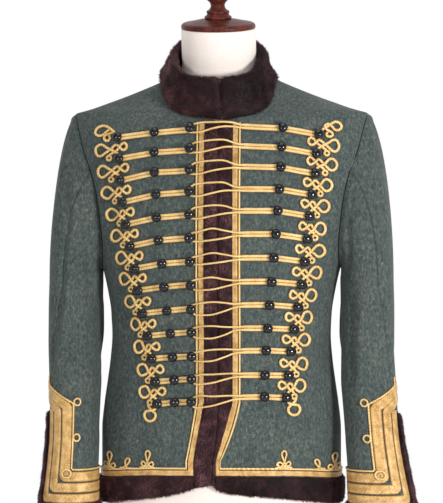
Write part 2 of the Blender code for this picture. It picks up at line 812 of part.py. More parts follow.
# Height of a fastening loop's underside over the cloth, by signed distance from the centre:
# over the other side's bar, over the lace, over the fur, and down to its own bar
LOOP_LEVEL = [(-60.0, 3.1), (-36.0, 3.1), (-28.0, 4.0), (-22.5, 7.2), (-16.0, FUR + 1.0),
              (15.5, FUR + 1.0), (21.5, 6.8), (41.0, 0.35), (60.0, 0.35)]


def flat_loop(z_left, z_right, x_in):
    """The loop of one row, drawn flat from its own bar over to the right's inner button at x_in."""
    upper = [(41.0, 2.3), (21.5, 4.6), (15.5, 6.4), (-16.0, 8.2),
             (-22.5, 7.8), (6.8 - x_in, 6.2), (-5.2 - x_in, 3.0)]
    path = upper + [(u, -w) for u, w in upper[::-1]]
    rings = []
    for k, (u, w) in enumerate(path):
        (u0, w0), (u1, w1) = path[max(k - 1, 0)], path[min(k + 1, len(path) - 1)]
        size = sqrt((u1 - u0) ** 2 + (w1 - w0) ** 2)
        nu, nw = -(w1 - w0) / size, (u1 - u0) / size
        share = smooth((41.0 - u) / 84.0)
        level = z_left * (1 - share) + z_right * share
        ring = []
        for d, h in ((-1.9, 0.0), (0.0, LOOP_H), (1.9, 0.0)):
            uu = u + nu * d
            ring.append(Vector((uu, level + w + nw * d, line(LOOP_LEVEL, 1, u) + h)))
        rings.append(ring)
    return mesh_object("loop", *loft(rings), "gold_cord", 1, flat=True)


def place_front(u, w, h):
    return on_front(u, w, LIFT + h)


paths = {side: frog_path(side) for side in (-1, 1)}
for side, name in ((-1, "right"), (1, "left")):
    for row in range(ROWS):
        pts = paths[side][row]
        drop = ROW_DROP.get(row + 1, 0.0)
        steps = 6 if row < 6 else 5
        bar = flat_bar(pts, BAR_START, pts[2][0] + 3.0, steps, drop)
        bits = [flat_button(*pts[1], -drop), flat_button(*pts[2], -drop)]
        if side < 0:
            bits.append(flat_button(pts[0][0], pts[0][1], 4.9, shank=True))
        else:
            bits.append(flat_loop(bar_level(pts, 38.0), paths[-1][row][0][1], paths[-1][row][0][0]))
        bar.name = "frog_%s_%02d" % (name, row + 1)
        bar.data.name = bar.name
        fuse(bar, bits)
        lay(bar, side, place_front)

# Chains of cord loops at the outer ends of the frogs

for side, name in ((-1, "right"), (1, "left")):
    shapes, strand = [], []
    for row in range(ROWS):
        u, w = paths[side][row][2]
        # The upper rows stand closer, and their loops hang lower and further out
        tight = max(0.0, 1.0 - row / 6.0)
        shapes.append(cord_ring(u + 20.6 + 3.0 * tight, w + 15.4 - 3.0 * tight, 11.6, 8.8, 0.4, 7, 5))
        shapes.append(cord_ring(u + 14.8, w + 0.8, 4.9, 4.9, 0.0, 6, 4))
        if row:
            shapes.append(cord_ring(u - 6.4, w + 18.9, 5.6, 5.0, -0.15, 5, 4))
            shapes += cord_run([(u + 7.6, w + 17.4), (u - 2.0, w + 18.2)])
        strand += [(u + 7.2, w + 17.0), (u + 12.8, w + 0.8)]
    u, w = paths[side][-1][2]
    strand.append((u + 10.0, w - 12.0))
    shapes.append(cord_ring(u + 12.5, w - 18.0, 9.2, 8.2, 0.0, 8, 6))
    chain = flat_union("chain_" + name, shapes + cord_run(strand), 0.0, CORD_H, "gold_cord", 1.5)
    lay(chain, side, place_front)


# Cuffs: what lies on the sleeve is made from the sleeve's own columns, moved out

def cuff_row(z):
    v = 1 + (635 - z) / (635 - CUFF_END)
    return [(sleeve(phi, v), sleeve_normal(phi, v)) for phi in SLEEVE_PHI]


cuff_rows_of = {}
for side in (1, -1):
    flared = side > 0
    cuff_rows_of[side] = {z: cuff_row(z) for z in SLEEVE_LEVELS}
cuff_rows = cuff_rows_of[-1]


def cuff_columns(z):
    """The sleeve's own columns at height z, straight between its rows."""
    k = max(i for i in range(len(SLEEVE_LEVELS) - 1) if SLEEVE_LEVELS[i] >= z or i == 0)
    z0, z1 = SLEEVE_LEVELS[k], SLEEVE_LEVELS[k + 1]
    t = (z0 - z) / (z0 - z1)
    return [(p.lerp(q, t), n.lerp(m, t).normalized())
            for (p, n), (q, m) in zip(cuff_rows[z0], cuff_rows[z1])]


def cuff_scale():
    """Arc length from the outermost line of the sleeve to each column, forward round the ring."""
    pts = [p for p, n in cuff_columns(340.0)]
    sums = [0.0]
    for k in range(1, RING + 1):
        sums.append(sums[-1] + (pts[k % RING] - pts[k - 1]).length)
    # The outermost line is not at column 0, because the ring is turned
    best = max(range(RING), key=lambda k: pts[k].x)
    return sums, sums[best]


ARC, ARC_START = cuff_scale()
ARC_ALL = ARC[-1]


def on_cuff(s, z, h):
    """Point over the sleeve at arc length s from its outer line, forward positive."""
    want = (ARC_START + s) % ARC_ALL
    k = max(i for i in range(RING) if ARC[i] <= want + 1e-9)
    t = (want - ARC[k]) / (ARC[k + 1] - ARC[k])
    cols = cuff_columns(z)
    (p0, n0), (p1, n1) = cols[k], cols[(k + 1) % RING]
    return (p0 + n0 * h).lerp(p1 + n1 * h, t)


def cuff_stations(s0, s1):
    """Arc lengths from s0 to s1 with a station at every column of the sleeve between."""
    inside = []
    for turn in (-1, 0, 1):
        for k in range(RING):
            s = ARC[k] - ARC_START + turn * ARC_ALL
            if s0 + 1.5 < s < s1 - 1.5:
                inside.append(s)
    return [s0] + sorted(inside) + [s1]


# Bands of lace from the fur inwards: place of the upright part and level of the cross part
#          s     z    width thick
BANDS = [(38.0, 306.5, 12.4, 1.5),
         (53.6, 322.4, 12.4, 1.5),
         (69.2, 338.3, 12.4, 1.5),
         (79.6, 349.2, 2.8, 2.2)]
BAND_END = 236.0


def spike(s):
    """Upper edge of the cuff's lace: it slants up to the point beside the fur."""
    return 478.0 - (s - 30.0) * 0.6


for side, name in ((-1, "right"), (1, "left")):
    cuff_rows = cuff_rows_of[side]
    for k, (s, z, width, thick) in enumerate(BANDS):
        h = width / 2
        rings = []

        def section(a, b, lift=0.6):
            return [on_cuff(*a, lift), on_cuff(*a, lift + thick), on_cuff(*b, lift + thick), on_cuff(*b, lift)]

        if thick > 2:
            # The thin cord starts at the point beside the fur, runs down the slant and turns
            for q in cuff_stations(33.0, s - 2):
                rings.append(section((q, spike(q) + 1.4), (q, spike(q) - 1.6)))
            rings.append(section((s + h, spike(s) + 1.0), (s - h, spike(s) - 1.5), 1.0))
            rings.append(section((s + h, z + h), (s - h, z - h), 1.0))
            for q in cuff_stations(s + 6, BAND_END):
                rings.append(section((q, z + h), (q, z - h)))
        else:
            # Upright part: straight across a corner between two columns, so it lies higher
            top = spike(s) - 8.0
            over = 2.3 if side > 0 else 1.9
            rings.append(section((s - h, top + h * 0.6), (s + h, top - h * 0.6), over))
            rings.append(section((s - h, 400.0), (s + h, 400.0), over))
            rings.append(section((s - h, z - h), (s + h, z + h), over))
            for k2, q in enumerate(cuff_stations(s + h + 3, BAND_END)):
                rings.append(section((q, z - h), (q, z + h), 0.6 if k2 else over))
        mesh_object("cuff_%s_%s" % ("cord" if thick > 2 else "lace_%d" % (k + 1), name),
                    *loft(rings), "gold_cord" if thick > 2 else "gold_lace", side)

# Fur of the cuff: a band round the end, with a strip that runs up to a point

FUR_TOP = 299.3
SPIKE_FUR = [(-24.0, FUR_TOP), (-12.0, 330.0), (4.0, 425.0), (30.6, 436.0), (31.2, FUR_TOP)]


def cuff_fur_top(s):
    if s <= SPIKE_FUR[0][0] or s >= SPIKE_FUR[-1][0]:
        return FUR_TOP
    return line(SPIKE_FUR, 1, s)


columns = sorted(set([round(s, 4) for s in cuff_stations(-24.0, 31.2)] + [-12.0, 4.0, 30.6]))
rest = cuff_stations(31.2, ARC_ALL - 24.0)[1:-1]
stations = columns + rest
for side, name in ((-1, "right"), (1, "left")):
    cuff_rows = cuff_rows_of[side]
    rings = []
    for s in stations:
        high = cuff_fur_top(s) - CUFF_END
        rings.append([on_cuff(s, CUFF_END + high * t, 0.6 + h)
                      for t, h in ((0, 0), (0, FUR - 3.0), (0.12, FUR), (0.88, FUR - 0.4),
                                   (1.0, FUR - 4.0), (1.0, 0))])
    mesh_object("fur_cuff_" + name, *loft(rings, closed=True), "fur", side)


# Dress form

def form_ring(z, sides=16):
    """Level section of the form's torso, inside the cloth."""
    up = table(BODY, 1, min(z + 3.4, 958)) - 0.5
    limit = table(ARMHOLE, 1, z) - 6.0 if z > 640 else 1e9
    limit = limit + 18 * smooth((z - 880) / 18.0) if z > 880 else limit
    w = min(up, limit) - (7.0 if z < 650 else 1.0)
    yf = table(BODY, 2, min(z + 4, 958)) + 4.6
    yb = table(BODY, 3, min(z + 3, 958)) - 9.0
    # A little sharper than the cloth, whose own corners lie further in at the sides
    e = 2 / (SQ - 0.5 * smooth((z - 600) / 60))
    pts = []
    for k in range(sides):
        a = 2 * pi * (k + 0.5) / sides
        s, c = sin(a), cos(a)
        d = -yf if c >= 0 else yb
        pts.append(Vector((w * spow(s, e), -d * spow(c, e), z)))
    return pts


FORM_LEVELS = [212, 330, 420, 490, 550, 610, 665, 734, 816, 872, 895, 907, 925, 942]
rings = [[Vector((p.x * 0.96, p.y * 0.94, 204.0)) for p in form_ring(212)]]
rings += [form_ring(z) for z in FORM_LEVELS]
torso = mesh_object("form_torso", *loft(rings), "form_cloth", 1)
axis = (NECK_TOP - NECK_LOW)
neck_len = axis.length
neck = mesh_object("neck", *turned([(NECK_R + 9, 0), (NECK_R + 2, 45), (NECK_R, 75),
                                    (NECK_R, neck_len)], NECK_LOW, axis, 18), "form_cloth", 1)
fuse(torso, [neck])

lean = axis.normalized()
mesh_object("neck_cap", *turned([(NECK_R - 0.4, 0.3), (NECK_R - 0.2, 6.2),
                                 (NECK_R - 4, 9.0), (24, 14.6)], NECK_TOP, lean, 24), "mahogany")
mesh_object("finial", *turned([(20.5, 14.9), (21.2, 18.0), (17.6, 22.5), (17.9, 26.0),
                               (10.8, 32.0), (10.8, 38.0), (17.6, 46.0), (19.2, 54.0), (15.6, 64.0),
                               (5.0, 71.5)], NECK_TOP, lean, 11),
            "mahogany")
Z = Vector((0, 0, 1))
mesh_object("stand_pole", *turned([(15, 25.3), (15, 203.7)], Vector((0, 0, 0)), Z, 12), "mahogany")
mesh_object("stand_base", *turned([(167, 0), (170, 4), (170, 13), (161, 20), (30, 25)],
                                  Vector((0, 0, 0)), Z, 26), "mahogany")

# The left cuff reaches further out, so all is set over to bring the origin to the middle of the box
xs = [v.co.x for ob in collection.objects for v in ob.data.vertices]
middle = (min(xs) + max(xs)) / 2
for ob in collection.objects:
    for v in ob.data.vertices:
        v.co.x -= middle
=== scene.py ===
from math import pi, sin, cos, sqrt

import bpy
import numpy as np
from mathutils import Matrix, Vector


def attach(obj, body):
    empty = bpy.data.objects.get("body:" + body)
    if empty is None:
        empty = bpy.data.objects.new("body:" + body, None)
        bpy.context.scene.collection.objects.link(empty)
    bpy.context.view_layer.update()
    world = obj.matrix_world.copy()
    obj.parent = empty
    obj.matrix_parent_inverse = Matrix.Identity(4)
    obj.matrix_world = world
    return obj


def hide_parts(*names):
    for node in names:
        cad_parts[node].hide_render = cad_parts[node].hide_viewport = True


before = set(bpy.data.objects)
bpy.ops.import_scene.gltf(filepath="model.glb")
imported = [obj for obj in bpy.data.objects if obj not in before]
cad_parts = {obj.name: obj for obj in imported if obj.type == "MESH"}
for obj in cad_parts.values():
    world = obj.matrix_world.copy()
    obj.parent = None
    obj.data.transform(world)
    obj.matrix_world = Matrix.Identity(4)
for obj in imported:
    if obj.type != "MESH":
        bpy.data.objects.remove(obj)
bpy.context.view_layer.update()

# Looks of the hussar jacket and its dress form. Sizes are in millimetres and turn into metres
# when a mesh is made. The tables and surfaces are those of the part's source.

MM = 0.001
SIDES = ((-1, "right"), (1, "left"))

WALL, SEAM, LIFT, SQ = 2.0, 0.35, 0.9, 2.25     # cloth, gap at a seam, trims over the cloth, squareness
FUR, FUR_EDGE = 8.0, 20.5                       # height of the front fur and its outer edge
BAR_HALF, ROWS = 4.6, 13
LACE_IN, LACE_OUT, LACE_W = 21.0, 33.6, 9.0
BUTTON_R, INNER_BUTTON = 7.4, 42.8

# Height, half width, y at the front, y at the back
BODY = [
    (200, 182, -120, 116), (290, 186, -126, 122), (340, 187, -124, 119), (402, 187, -121, 114),
    (445, 183, -119, 109), (480, 178, -117, 103), (515, 173.5, -115, 97), (550, 171, -115, 94),
    (585, 172.5, -118, 96.5), (620, 178, -124, 102), (655, 186, -129, 109), (698, 200, -130, 115),
    (734, 209, -128, 119), (775, 217, -124, 120), (816, 225, -116, 117), (852, 230, -103.5, 110),
    (879, 231.5, -91, 103), (895, 229.5, -76, 98.5), (903, 204, -64, 95.5), (912, 179, -54, 92),
    (922, 151.5, -45, 88), (933, 124, -35.5, 83.5), (942, 103, -26.5, 79), (950, 87.5, -17, 74),
    (960, 80, -12, 70)]
# Height, half width of the armhole's edge
ARMHOLE = [
    (655, 186), (663, 183.5), (690, 182.5), (722, 185), (762, 190), (800, 199), (838, 213), (879, 224),
    (889, 227), (895, 229.5)]
ARM_TOP, ARM_LOW = 895.0, 655.0
FUR_LEVEL, LACE_LEVEL = 310, 345     # where the hem's section is read
# Height, half width of the neckline
NECKLINE = [
    (878.9, 0), (890.9, 56), (895, 64), (903, 72), (912, 77), (922, 81), (933, 83.5), (942, 84.5), (950, 84)]
# Distance out, height of the hem fur's lower and upper edge
HEM = [
    (0, 327, 341.5), (50, 314, 341), (100, 306, 340), (140, 300, 337), (180, 292, 331), (260, 291, 330)]
# Height, x of the inner and the outer side, y of the middle, half depth
SLEEVE = [
    (635, 186, 269, -7, 70), (588, 186.5, 270, -10, 66), (542, 185.5, 269.5, -17, 62),
    (496, 185.5, 267, -29, 58), (450, 186.5, 264, -43, 53), (400, 187, 262.5, -59, 48),
    (350, 187, 265.5, -71.5, 45), (310, 186, 270, -80, 44.5), (270, 188, 275, -86, 45)]
SLEEVE_TOP, CUFF_END, TWIST = 635.0, 270.0, -40.0
SEAM_FRONT, SEAM_BACK = 78.0, 256.0     # places of the sleeve's two seams round the armhole
# The left forearm stands further out and its cuff is held wider, by height
FLARE = [(270, 14, 12.5), (470, 1, 5.5), (525, 0, 0)]
# All is set over by this much, so that the origin is the middle of the box
SET_OVER = np.array((12.633, 0.0, 0.0))
SLEEVE_PHI = [0, 15, 30, 53, 78, 104, 128, 152, 180, 208, 232, 256, 282, 307, 330, 345]
# x_in, then x_mid, x_out, z_in, z_mid, z_out of the right bar and of the left one
FROGS = [
    (43.2, (97.3, 154, 864, 859.7, 853.6), (96.7, 150.2, 868.6, 866.2, 857.3)),
    (42.8, (96.6, 150.3, 832.6, 829.3, 820.8), (94.7, 146.2, 838.4, 836.6, 827.6)),
    (42.2, (95.3, 147.9, 801.4, 799, 788.2), (93.4, 144.6, 807.3, 806.4, 797.7)),
    (42.4, (92.6, 143.9, 769.4, 765.8, 755.1), (91.3, 139.2, 773.6, 773.4, 765.9)),
    (42, (91.3, 138.5, 735, 731, 721.4), (88.6, 135.2, 741, 741, 733.6)),
    (41.8, (88, 131.6, 700.2, 697.2, 688.6), (85.8, 131.8, 706, 706.4, 699.4)),
    (40.4, (82.7, 124.5, 664.8, 662, 654.6), (82.6, 127.4, 670.6, 670.8, 665.2)),
    (39.6, (79.6, 119.6, 630.8, 627.4, 621.6), (79.2, 122.8, 635.1, 635.3, 631.1)),
    (39.3, (75.9, 113.4, 594.6, 591, 586.2), (76.1, 117.2, 600, 600, 596.4)),
    (38.9, (71, 105.6, 558.6, 556, 551.8), (73.3, 111.6, 564.5, 564.3, 562.2)),
    (38.7, (67.8, 99.4, 521.6, 520.2, 517.2), (71, 107, 530.2, 530.4, 528.2)),
    (38.6, (65.2, 93.8, 487.4, 485.4, 482.2), (69.4, 103.8, 493.4, 493.2, 491.9)),
    (38.9, (64.4, 90.6, 453.2, 452, 449), (68.8, 100.9, 460.3, 460.6, 458.6))]
# Distance out, and where it comes to hang at heights 400 and 364, below the last frog
SWAY = [
    (-92, -92, -92), (-33.6, -42, -49), (-21, -30.5, -36.5), (0, -2, -8.6), (20.4, 5.6, -4.8), (21, 6.4, -4),
    (33.6, 19.5, 4), (92, 92, 92)]
SWAY_NONE, SWAY_MID, SWAY_LOW = 452.0, 400.0, 364.0
NECK_R = 58.2
NECK_LOW, NECK_TOP = np.array((-1.5, 12.0, 890.0)), np.array((-4.0, -20.5, 1028.0))

rng = np.random.default_rng(1815)


# Curves and tables

def cubic(a, b, slope_a, slope_b, t):
    """From a to b with these slopes at the ends, at t from 0 to 1."""
    return (a * (1 + 2 * t) * (1 - t) ** 2 + slope_a * t * (1 - t) ** 2
            + b * t * t * (3 - 2 * t) + slope_b * t * t * (t - 1))


def table(rows, column, x):
    """Smooth values of a column, with no overshoot between rows."""
    px, py = np.array(sorted((r[0], r[column]) for r in rows), float).T
    x = np.clip(x, px[0], px[-1])
    h = np.diff(px)
    rate = np.diff(py) / h
    m = np.zeros(len(px))
    m[0], m[-1] = rate[0], rate[-1]
    a, b = rate[:-1], rate[1:]
    ok = a * b > 0
    wa, wb = 2 * h[1:] + h[:-1], h[1:] + 2 * h[:-1]
    m[1:-1][ok] = ((wa + wb)[ok] / (wa[ok] / a[ok] + wb[ok] / b[ok]))
    k = np.clip(np.searchsorted(px, x, side="right") - 1, 0, len(px) - 2)
    return cubic(py[k], py[k + 1], h[k] * m[k], h[k] * m[k + 1], (x - px[k]) / h[k])


def line(rows, column, x):
    px, py = np.array(sorted((r[0], r[column]) for r in rows), float).T
    return np.interp(x, px, py)


def spow(v, e):
    return np.sign(v) * np.abs(v) ** e


def smooth(t):
    t = np.clip(t, 0.0, 1.0)
    return t * t * (3 - 2 * t)


def unit(v):
    return v / np.maximum(np.linalg.norm(v, axis=-1, keepdims=True), 1e-9)


def run_length(p):
    """Length along a run of points, from its start."""
    return np.concatenate([[0], np.cumsum(np.linalg.norm(np.diff(p, axis=0), axis=1))])


def resample(p, s, n):
    """n even stations along a run of points, whose lengths are s."""
    at = np.linspace(0, s[-1], n)
    return np.stack([np.interp(at, s, column) for column in p.T], 1)


def turn(n):
    """n even angles, once round."""
    return np.arange(n) * 2 * pi / n


def spline(points, step, closed=False):
    """Points every step along a smooth curve through the given points, any number of columns."""
    p = np.array(points, float)
    if closed:
        p = np.vstack([p[-1], p, p[0], p[1]])
    else:
        p = np.vstack([2 * p[0] - p[1], p, 2 * p[-1] - p[-2]])
    d = np.maximum(np.linalg.norm(np.diff(p[:, :2], axis=0), axis=1), 1e-6) ** 0.5
    out = []
    for i in range(1, len(p) - 2):
        p0, p1, p2, p3 = p[i - 1:i + 3]
        d0, d1, d2 = d[i - 1:i + 2]
        n = max(2, int(np.linalg.norm(p2[:2] - p1[:2]) / step * 2))
        u = np.linspace(0, 1, n, endpoint=False)[:, None]
        m0 = (p2 - p1) - (p2 - p0) * d1 / (d0 + d1) + (p1 - p0) * d1 / d0
        m1 = (p2 - p1) - (p3 - p1) * d1 / (d1 + d2) + (p3 - p2) * d1 / d2
        out.append(cubic(p1, p2, m0, m1, u))
    out = np.vstack(out + [out[0][:1] if closed else p[-2:-1]])
    s = run_length(out[:, :2])
    out = resample(out, s, max(4, int(s[-1] / step) + 1))
    return out[:-1] if closed else out


# Surfaces

def body(a, z):
    """Angle a is 0 at the centre front, 90 at the side, 180 at the centre back."""
    a, z = np.broadcast_arrays(np.asarray(a, float), np.asarray(z, float))
    s, c = np.sin(np.radians(a)), np.cos(np.radians(a))
    depth = np.where(c >= 0, -table(BODY, 2, z), table(BODY, 3, z))
    return np.stack([table(BODY, 1, z) * spow(s, 2 / SQ), -depth * spow(c, 2 / SQ), z], -1)


def body_normal(a, z):
    u = body(a + 0.8, z) - body(a - 0.8, z)
    v = body(a, z + 1.5) - body(a, z - 1.5)
    return unit(np.cross(u, v))


def angle_at(x, z):
    return np.degrees(np.arcsin(np.minimum(1.0, x / table(BODY, 1, z)) ** (SQ / 2)))


def crease(rows, x, z):
    """Soft troughs and ridges: each row runs from x0, z0 to x1, z1 with its width, height and bend."""
    out = np.zeros(np.broadcast(x, z).shape)
    for x0, z0, x1, z1, width, high, bend in rows:
        dx, dz = x1 - x0, z1 - z0
        size = sqrt(dx * dx + dz * dz)
        t = ((x - x0) * dx + (z - z0) * dz) / size ** 2
        d = ((x - x0) * dz - (z - z0) * dx) / size - bend * 4 * np.clip(t, 0, 1) * (1 - np.clip(t, 0, 1))
        ends = smooth(t / 0.3) * smooth((1 - t) / 0.3)
        out = out + high * np.exp(-(d / width) ** 2) * ends
    return out


# Folds of the cloth. Fronts and backs by signed distance from the centre
# x0, z0, x1, z1, width, height, bend
FRONT_FOLDS = [
    (-168, 640, -120, 545, 9, -2.2, 6), (-176, 600, -112, 500, 8, 1.8, 8),
    (-170, 560, -150, 380, 12, -1.8, -5), (-140, 470, -146, 350, 13, 1.8, 3),
    (-118, 440, -120, 345, 10, -1.6, 0), (-92, 436, -84, 345, 11, 1.4, -2), (-64, 430, -66, 350, 9, -1.3, 2),
    (-150, 700, -172, 760, 8, -1.6, 3), (-176, 790, -160, 690, 9, -2, -4),
    (-120, 905, -190, 878, 12, 1.2, 4), (172, 650, 126, 560, 9, -2.2, -6), (176, 612, 120, 520, 8, 1.6, -8),
    (168, 560, 150, 390, 12, -2, 5), (136, 470, 142, 350, 12, 1.9, -3), (112, 440, 110, 345, 10, -1.5, 0),
    (84, 436, 76, 350, 10, 1.5, 2), (60, 430, 46, 352, 9, -1.4, -2), (170, 800, 160, 700, 10, -1.8, 4),
    (122, 905, 188, 880, 12, 1.2, -4), (150, 720, 178, 655, 8, 1.6, 3), (-60, 640, -150, 610, 14, 0.9, 6),
    (62, 630, 150, 600, 14, 0.9, -6)]
BACK_FOLDS = [
    (-150, 690, -60, 560, 12, -2, 8), (-165, 640, -80, 520, 10, 1.8, 10), (-120, 600, -20, 540, 11, -2.2, 6),
    (-90, 560, 60, 548, 9, -1.8, 4), (-40, 575, 95, 560, 10, 1.6, -5), (150, 700, 70, 570, 12, -2.2, -8),
    (168, 645, 86, 530, 10, 1.8, -9), (120, 610, 30, 545, 10, -1.6, -5), (-60, 470, -72, 345, 13, 2, 4),
    (-110, 480, -128, 345, 12, -1.8, 3), (52, 470, 60, 345, 13, 1.9, -4), (104, 480, 120, 345, 12, -1.8, -3),
    (-12, 460, -18, 345, 10, -1.4, 2), (20, 455, 24, 345, 10, 1.2, 0), (-180, 800, -130, 700, 10, -1.8, -8),
    (182, 800, 128, 705, 10, -1.7, 8), (-70, 900, -150, 820, 16, 1.2, 8), (74, 900, 150, 822, 16, 1.2, -8)]
# Sleeves by place round the ring, as it stands at the elbow, in degrees, and height.
# One row serves both sleeves where its side is 0
# place0, z0, place1, z1, width, height, bend, side
SLEEVE_FOLDS = [
    (150, 560, 90, 505, 9, -1.6, 5, -1), (152, 540, 96, 480, 9, -1.4, -5, 1),
    (170, 600, 200, 470, 10, -2.4, 6, 0), (215, 620, 180, 520, 9, 2, 6, 0),
    (240, 570, 190, 500, 9, -2.6, 5, 0), (262, 540, 210, 455, 9, 1.8, -6, 0),
    (300, 700, 285, 480, 11, -1.8, 5, 0), (330, 640, 322, 420, 10, 1.5, 4, 0),
    (250, 460, 240, 330, 9, -1.6, 3, 0), (200, 420, 206, 310, 9, 1.4, 3, 0)]
DEGREE, LINE_GAIN = 0.95, 1.7     # mm to a degree round the sleeve, and the strength of its lines
# Long creases and ridges that wander: side, width, height, then height and place on the way down
SLEEVE_LINES = [
    (-1, 8, 0.9, [(862, 7), (809, 35), (759, 42), (631, 42), (567, 36)]),
    (-1, 2.3, 1.7, [(814, 61), (746, 81), (703, 90), (635, 85), (581, 77), (548, 69), (483, 53)]),
    (-1, 7, -1.5, [(806, 48), (746, 69), (703, 78), (635, 73), (581, 65), (548, 57), (490, 44)]),
    (-1, 6, -2.2, [(735, 96), (689, 117), (638, 129), (596, 133)]),
    (-1, 6, 1.6, [(676, 136), (644, 150), (600, 143)]),
    (-1, 6.5, -1.8, [(570, 163), (512, 155), (440, 157)]),
    (-1, 5, 1.1, [(600, 112), (540, 118), (470, 116)]),
    (1, 2.3, 2.1, [(874, 24), (832, 46), (788, 59), (721, 66), (682, 66), (619, 57), (569, 51), (529, 41),
        (480, 20)]),
    (1, 7, -1.4, [(860, 20), (832, 34), (788, 47), (721, 54), (682, 54), (619, 45), (569, 39), (520, 28)]),
    (1, 6, -2.6, [(800, 80), (736, 107), (645, 141)]), (1, 5, -2, [(782, 98), (720, 124), (650, 158)]),
    (1, 6.5, -1.8, [(620, 125), (545, 130), (470, 132)]), (1, 6, 1.4, [(620, 102), (545, 106), (455, 114)])]


def sway(x, z):
    """Where a point of the front comes to lie below the last frog."""
    mid, low = table(SWAY, 1, x) - x, table(SWAY, 2, x) - x
    k = np.clip((SWAY_NONE - z) / (SWAY_NONE - SWAY_LOW), 0, 1)
    m = (SWAY_NONE - SWAY_MID) / (SWAY_NONE - SWAY_LOW)
    part = mid * k * (k - 1) / (m * (m - 1)) + low * k * (k - m) / (1 - m)
    return np.where((z >= SWAY_NONE) | (np.abs(x) >= SWAY[-1][0]), x, x + part)


def on_body(a, z, h, side):
    """Points at height h over the cloth, as it lies on the form with its folds; side 1 is the left."""
    a, z, h, side = np.broadcast_arrays(*[np.asarray(v, float) for v in (a, z, h, side)])
    p, n = body(a, z), body_normal(a, z)
    x = p[..., 0] * side
    fold = np.where(a < 90, crease(FRONT_FOLDS, x, z), crease(BACK_FOLDS, x, z))
    # At the side seam and round the neck and armhole the cloth is held
    fold = fold * smooth(np.abs(a - 90) / 14) * smooth((905 - z) / 30)
    p = p + n * (h + fold)[..., None]
    x = p[..., 0] * side
    x = np.where(p[..., 1] < 0, sway(x, z), x)
    return np.stack([x, p[..., 1], p[..., 2]], -1)


def on_front(u, z, h):
    """u is signed: positive on the wearer's left."""
    u = np.asarray(u, float)
    return on_body(angle_at(np.abs(u), z), z, h, np.where(u < 0, -1.0, 1.0))


def place_front(u, w, h):
    return on_front(u, w, LIFT + h)


def arm_point(phi):
    """Armhole edge: phi 0 at the shoulder tip, 90 at the front, 180 at the armpit."""
    phi = np.asarray(phi, float)
    z = (ARM_TOP + ARM_LOW) / 2 + (ARM_TOP - ARM_LOW) / 2 * np.cos(np.radians(phi))
    a = angle_at(table(ARMHOLE, 1, z), z)
    s = np.sin(np.radians(phi))
    a = np.where(np.abs(s) < 1e-6, 90.0, a)
    return np.where(s < 0, 180 - a, a), z


def sleeve_ring(phi, z):
    x0, x1 = table(SLEEVE, 1, z), table(SLEEVE, 2, z)
    s, c = np.sin(np.radians(phi)), np.cos(np.radians(phi))
    return np.stack([(x0 + x1) / 2 + (x1 - x0) / 2 * spow(c, 2 / 2.2),
                     table(SLEEVE, 3, z) - table(SLEEVE, 4, z) * spow(s, 2 / 2.2), z], -1)


def head_ways():
    """The way the sleeve leaves the armhole, at each of its columns."""
    phi = np.array(SLEEVE_PHI, float)
    p = body(*arm_point(phi))
    n = body_normal(*arm_point(phi))
    out = unit(np.cross(body(*arm_point(phi + 2)) - body(*arm_point(phi - 2)), n))
    out[out[:, 0] < 0] *= -1
    out[8] = (0, 0, 1)
    fold = np.radians(15 + 80 * (1 - np.cos(np.radians(phi))) / 2)[:, None]
    return out * np.cos(fold) + n * np.sin(fold)


WAYS = head_ways()


def round_columns(values, phi):
    """Smooth values between the sleeve's columns, round the ring."""
    xs = np.array(SLEEVE_PHI + [360 + SLEEVE_PHI[0]], float)
    v = np.vstack([values, values[:1]])
    prev, nxt = np.roll(values, 1, 0), np.roll(values, -1, 0)
    gap = np.diff(xs)
    slope = (nxt - prev) / (gap + np.roll(gap, 1))[:, None]
    slope = np.vstack([slope, slope[:1]])
    k = np.clip(np.searchsorted(xs, phi, side="right") - 1, 0, len(xs) - 2)
    h = gap[k][..., None]
    return cubic(v[k], v[k + 1], h * slope[k], h * slope[k + 1], ((phi - xs[k]) / gap[k])[..., None])


def ring_turn(z):
    """How far the sleeve's columns turn round it on their way down."""
    return TWIST * smooth((690.0 - z) / 225.0)


def down_at(z):
    return 1 + (SLEEVE_TOP - z) / (SLEEVE_TOP - CUFF_END)


def sleeve(phi, v):
    """v 0 to 1 runs over the sleeve head, 1 to 2 down to the cuff's end."""
    phi, v = np.broadcast_arrays(np.asarray(phi, float) % 360, np.asarray(v, float))
    z = SLEEVE_TOP - (np.maximum(v, 1) - 1) * (SLEEVE_TOP - CUFF_END)
    low = sleeve_ring(phi + ring_turn(z), z)
    a, za = arm_point(phi)
    p = body(a, za)
    c1 = p + round_columns(WAYS, phi) * (6 + 17 * (za - ARM_LOW) / (ARM_TOP - ARM_LOW))[..., None]
    c2 = low.copy()
    c2[..., 2] += 0.56 * (p[..., 2] - low[..., 2])
    t = np.clip(v, 0, 1)[..., None]
    head = p * (1 - t) ** 3 + c1 * 3 * t * (1 - t) ** 2 + c2 * 3 * t * t * (1 - t) + low * t ** 3
    return np.where((v < 1)[..., None], head, low)


def round_sleeve(phi, v):
    """The way round the sleeve; at the armhole it is taken just below."""
    return sleeve(phi + 1.5, np.maximum(v, 0.02)) - sleeve(phi - 1.5, np.maximum(v, 0.02))


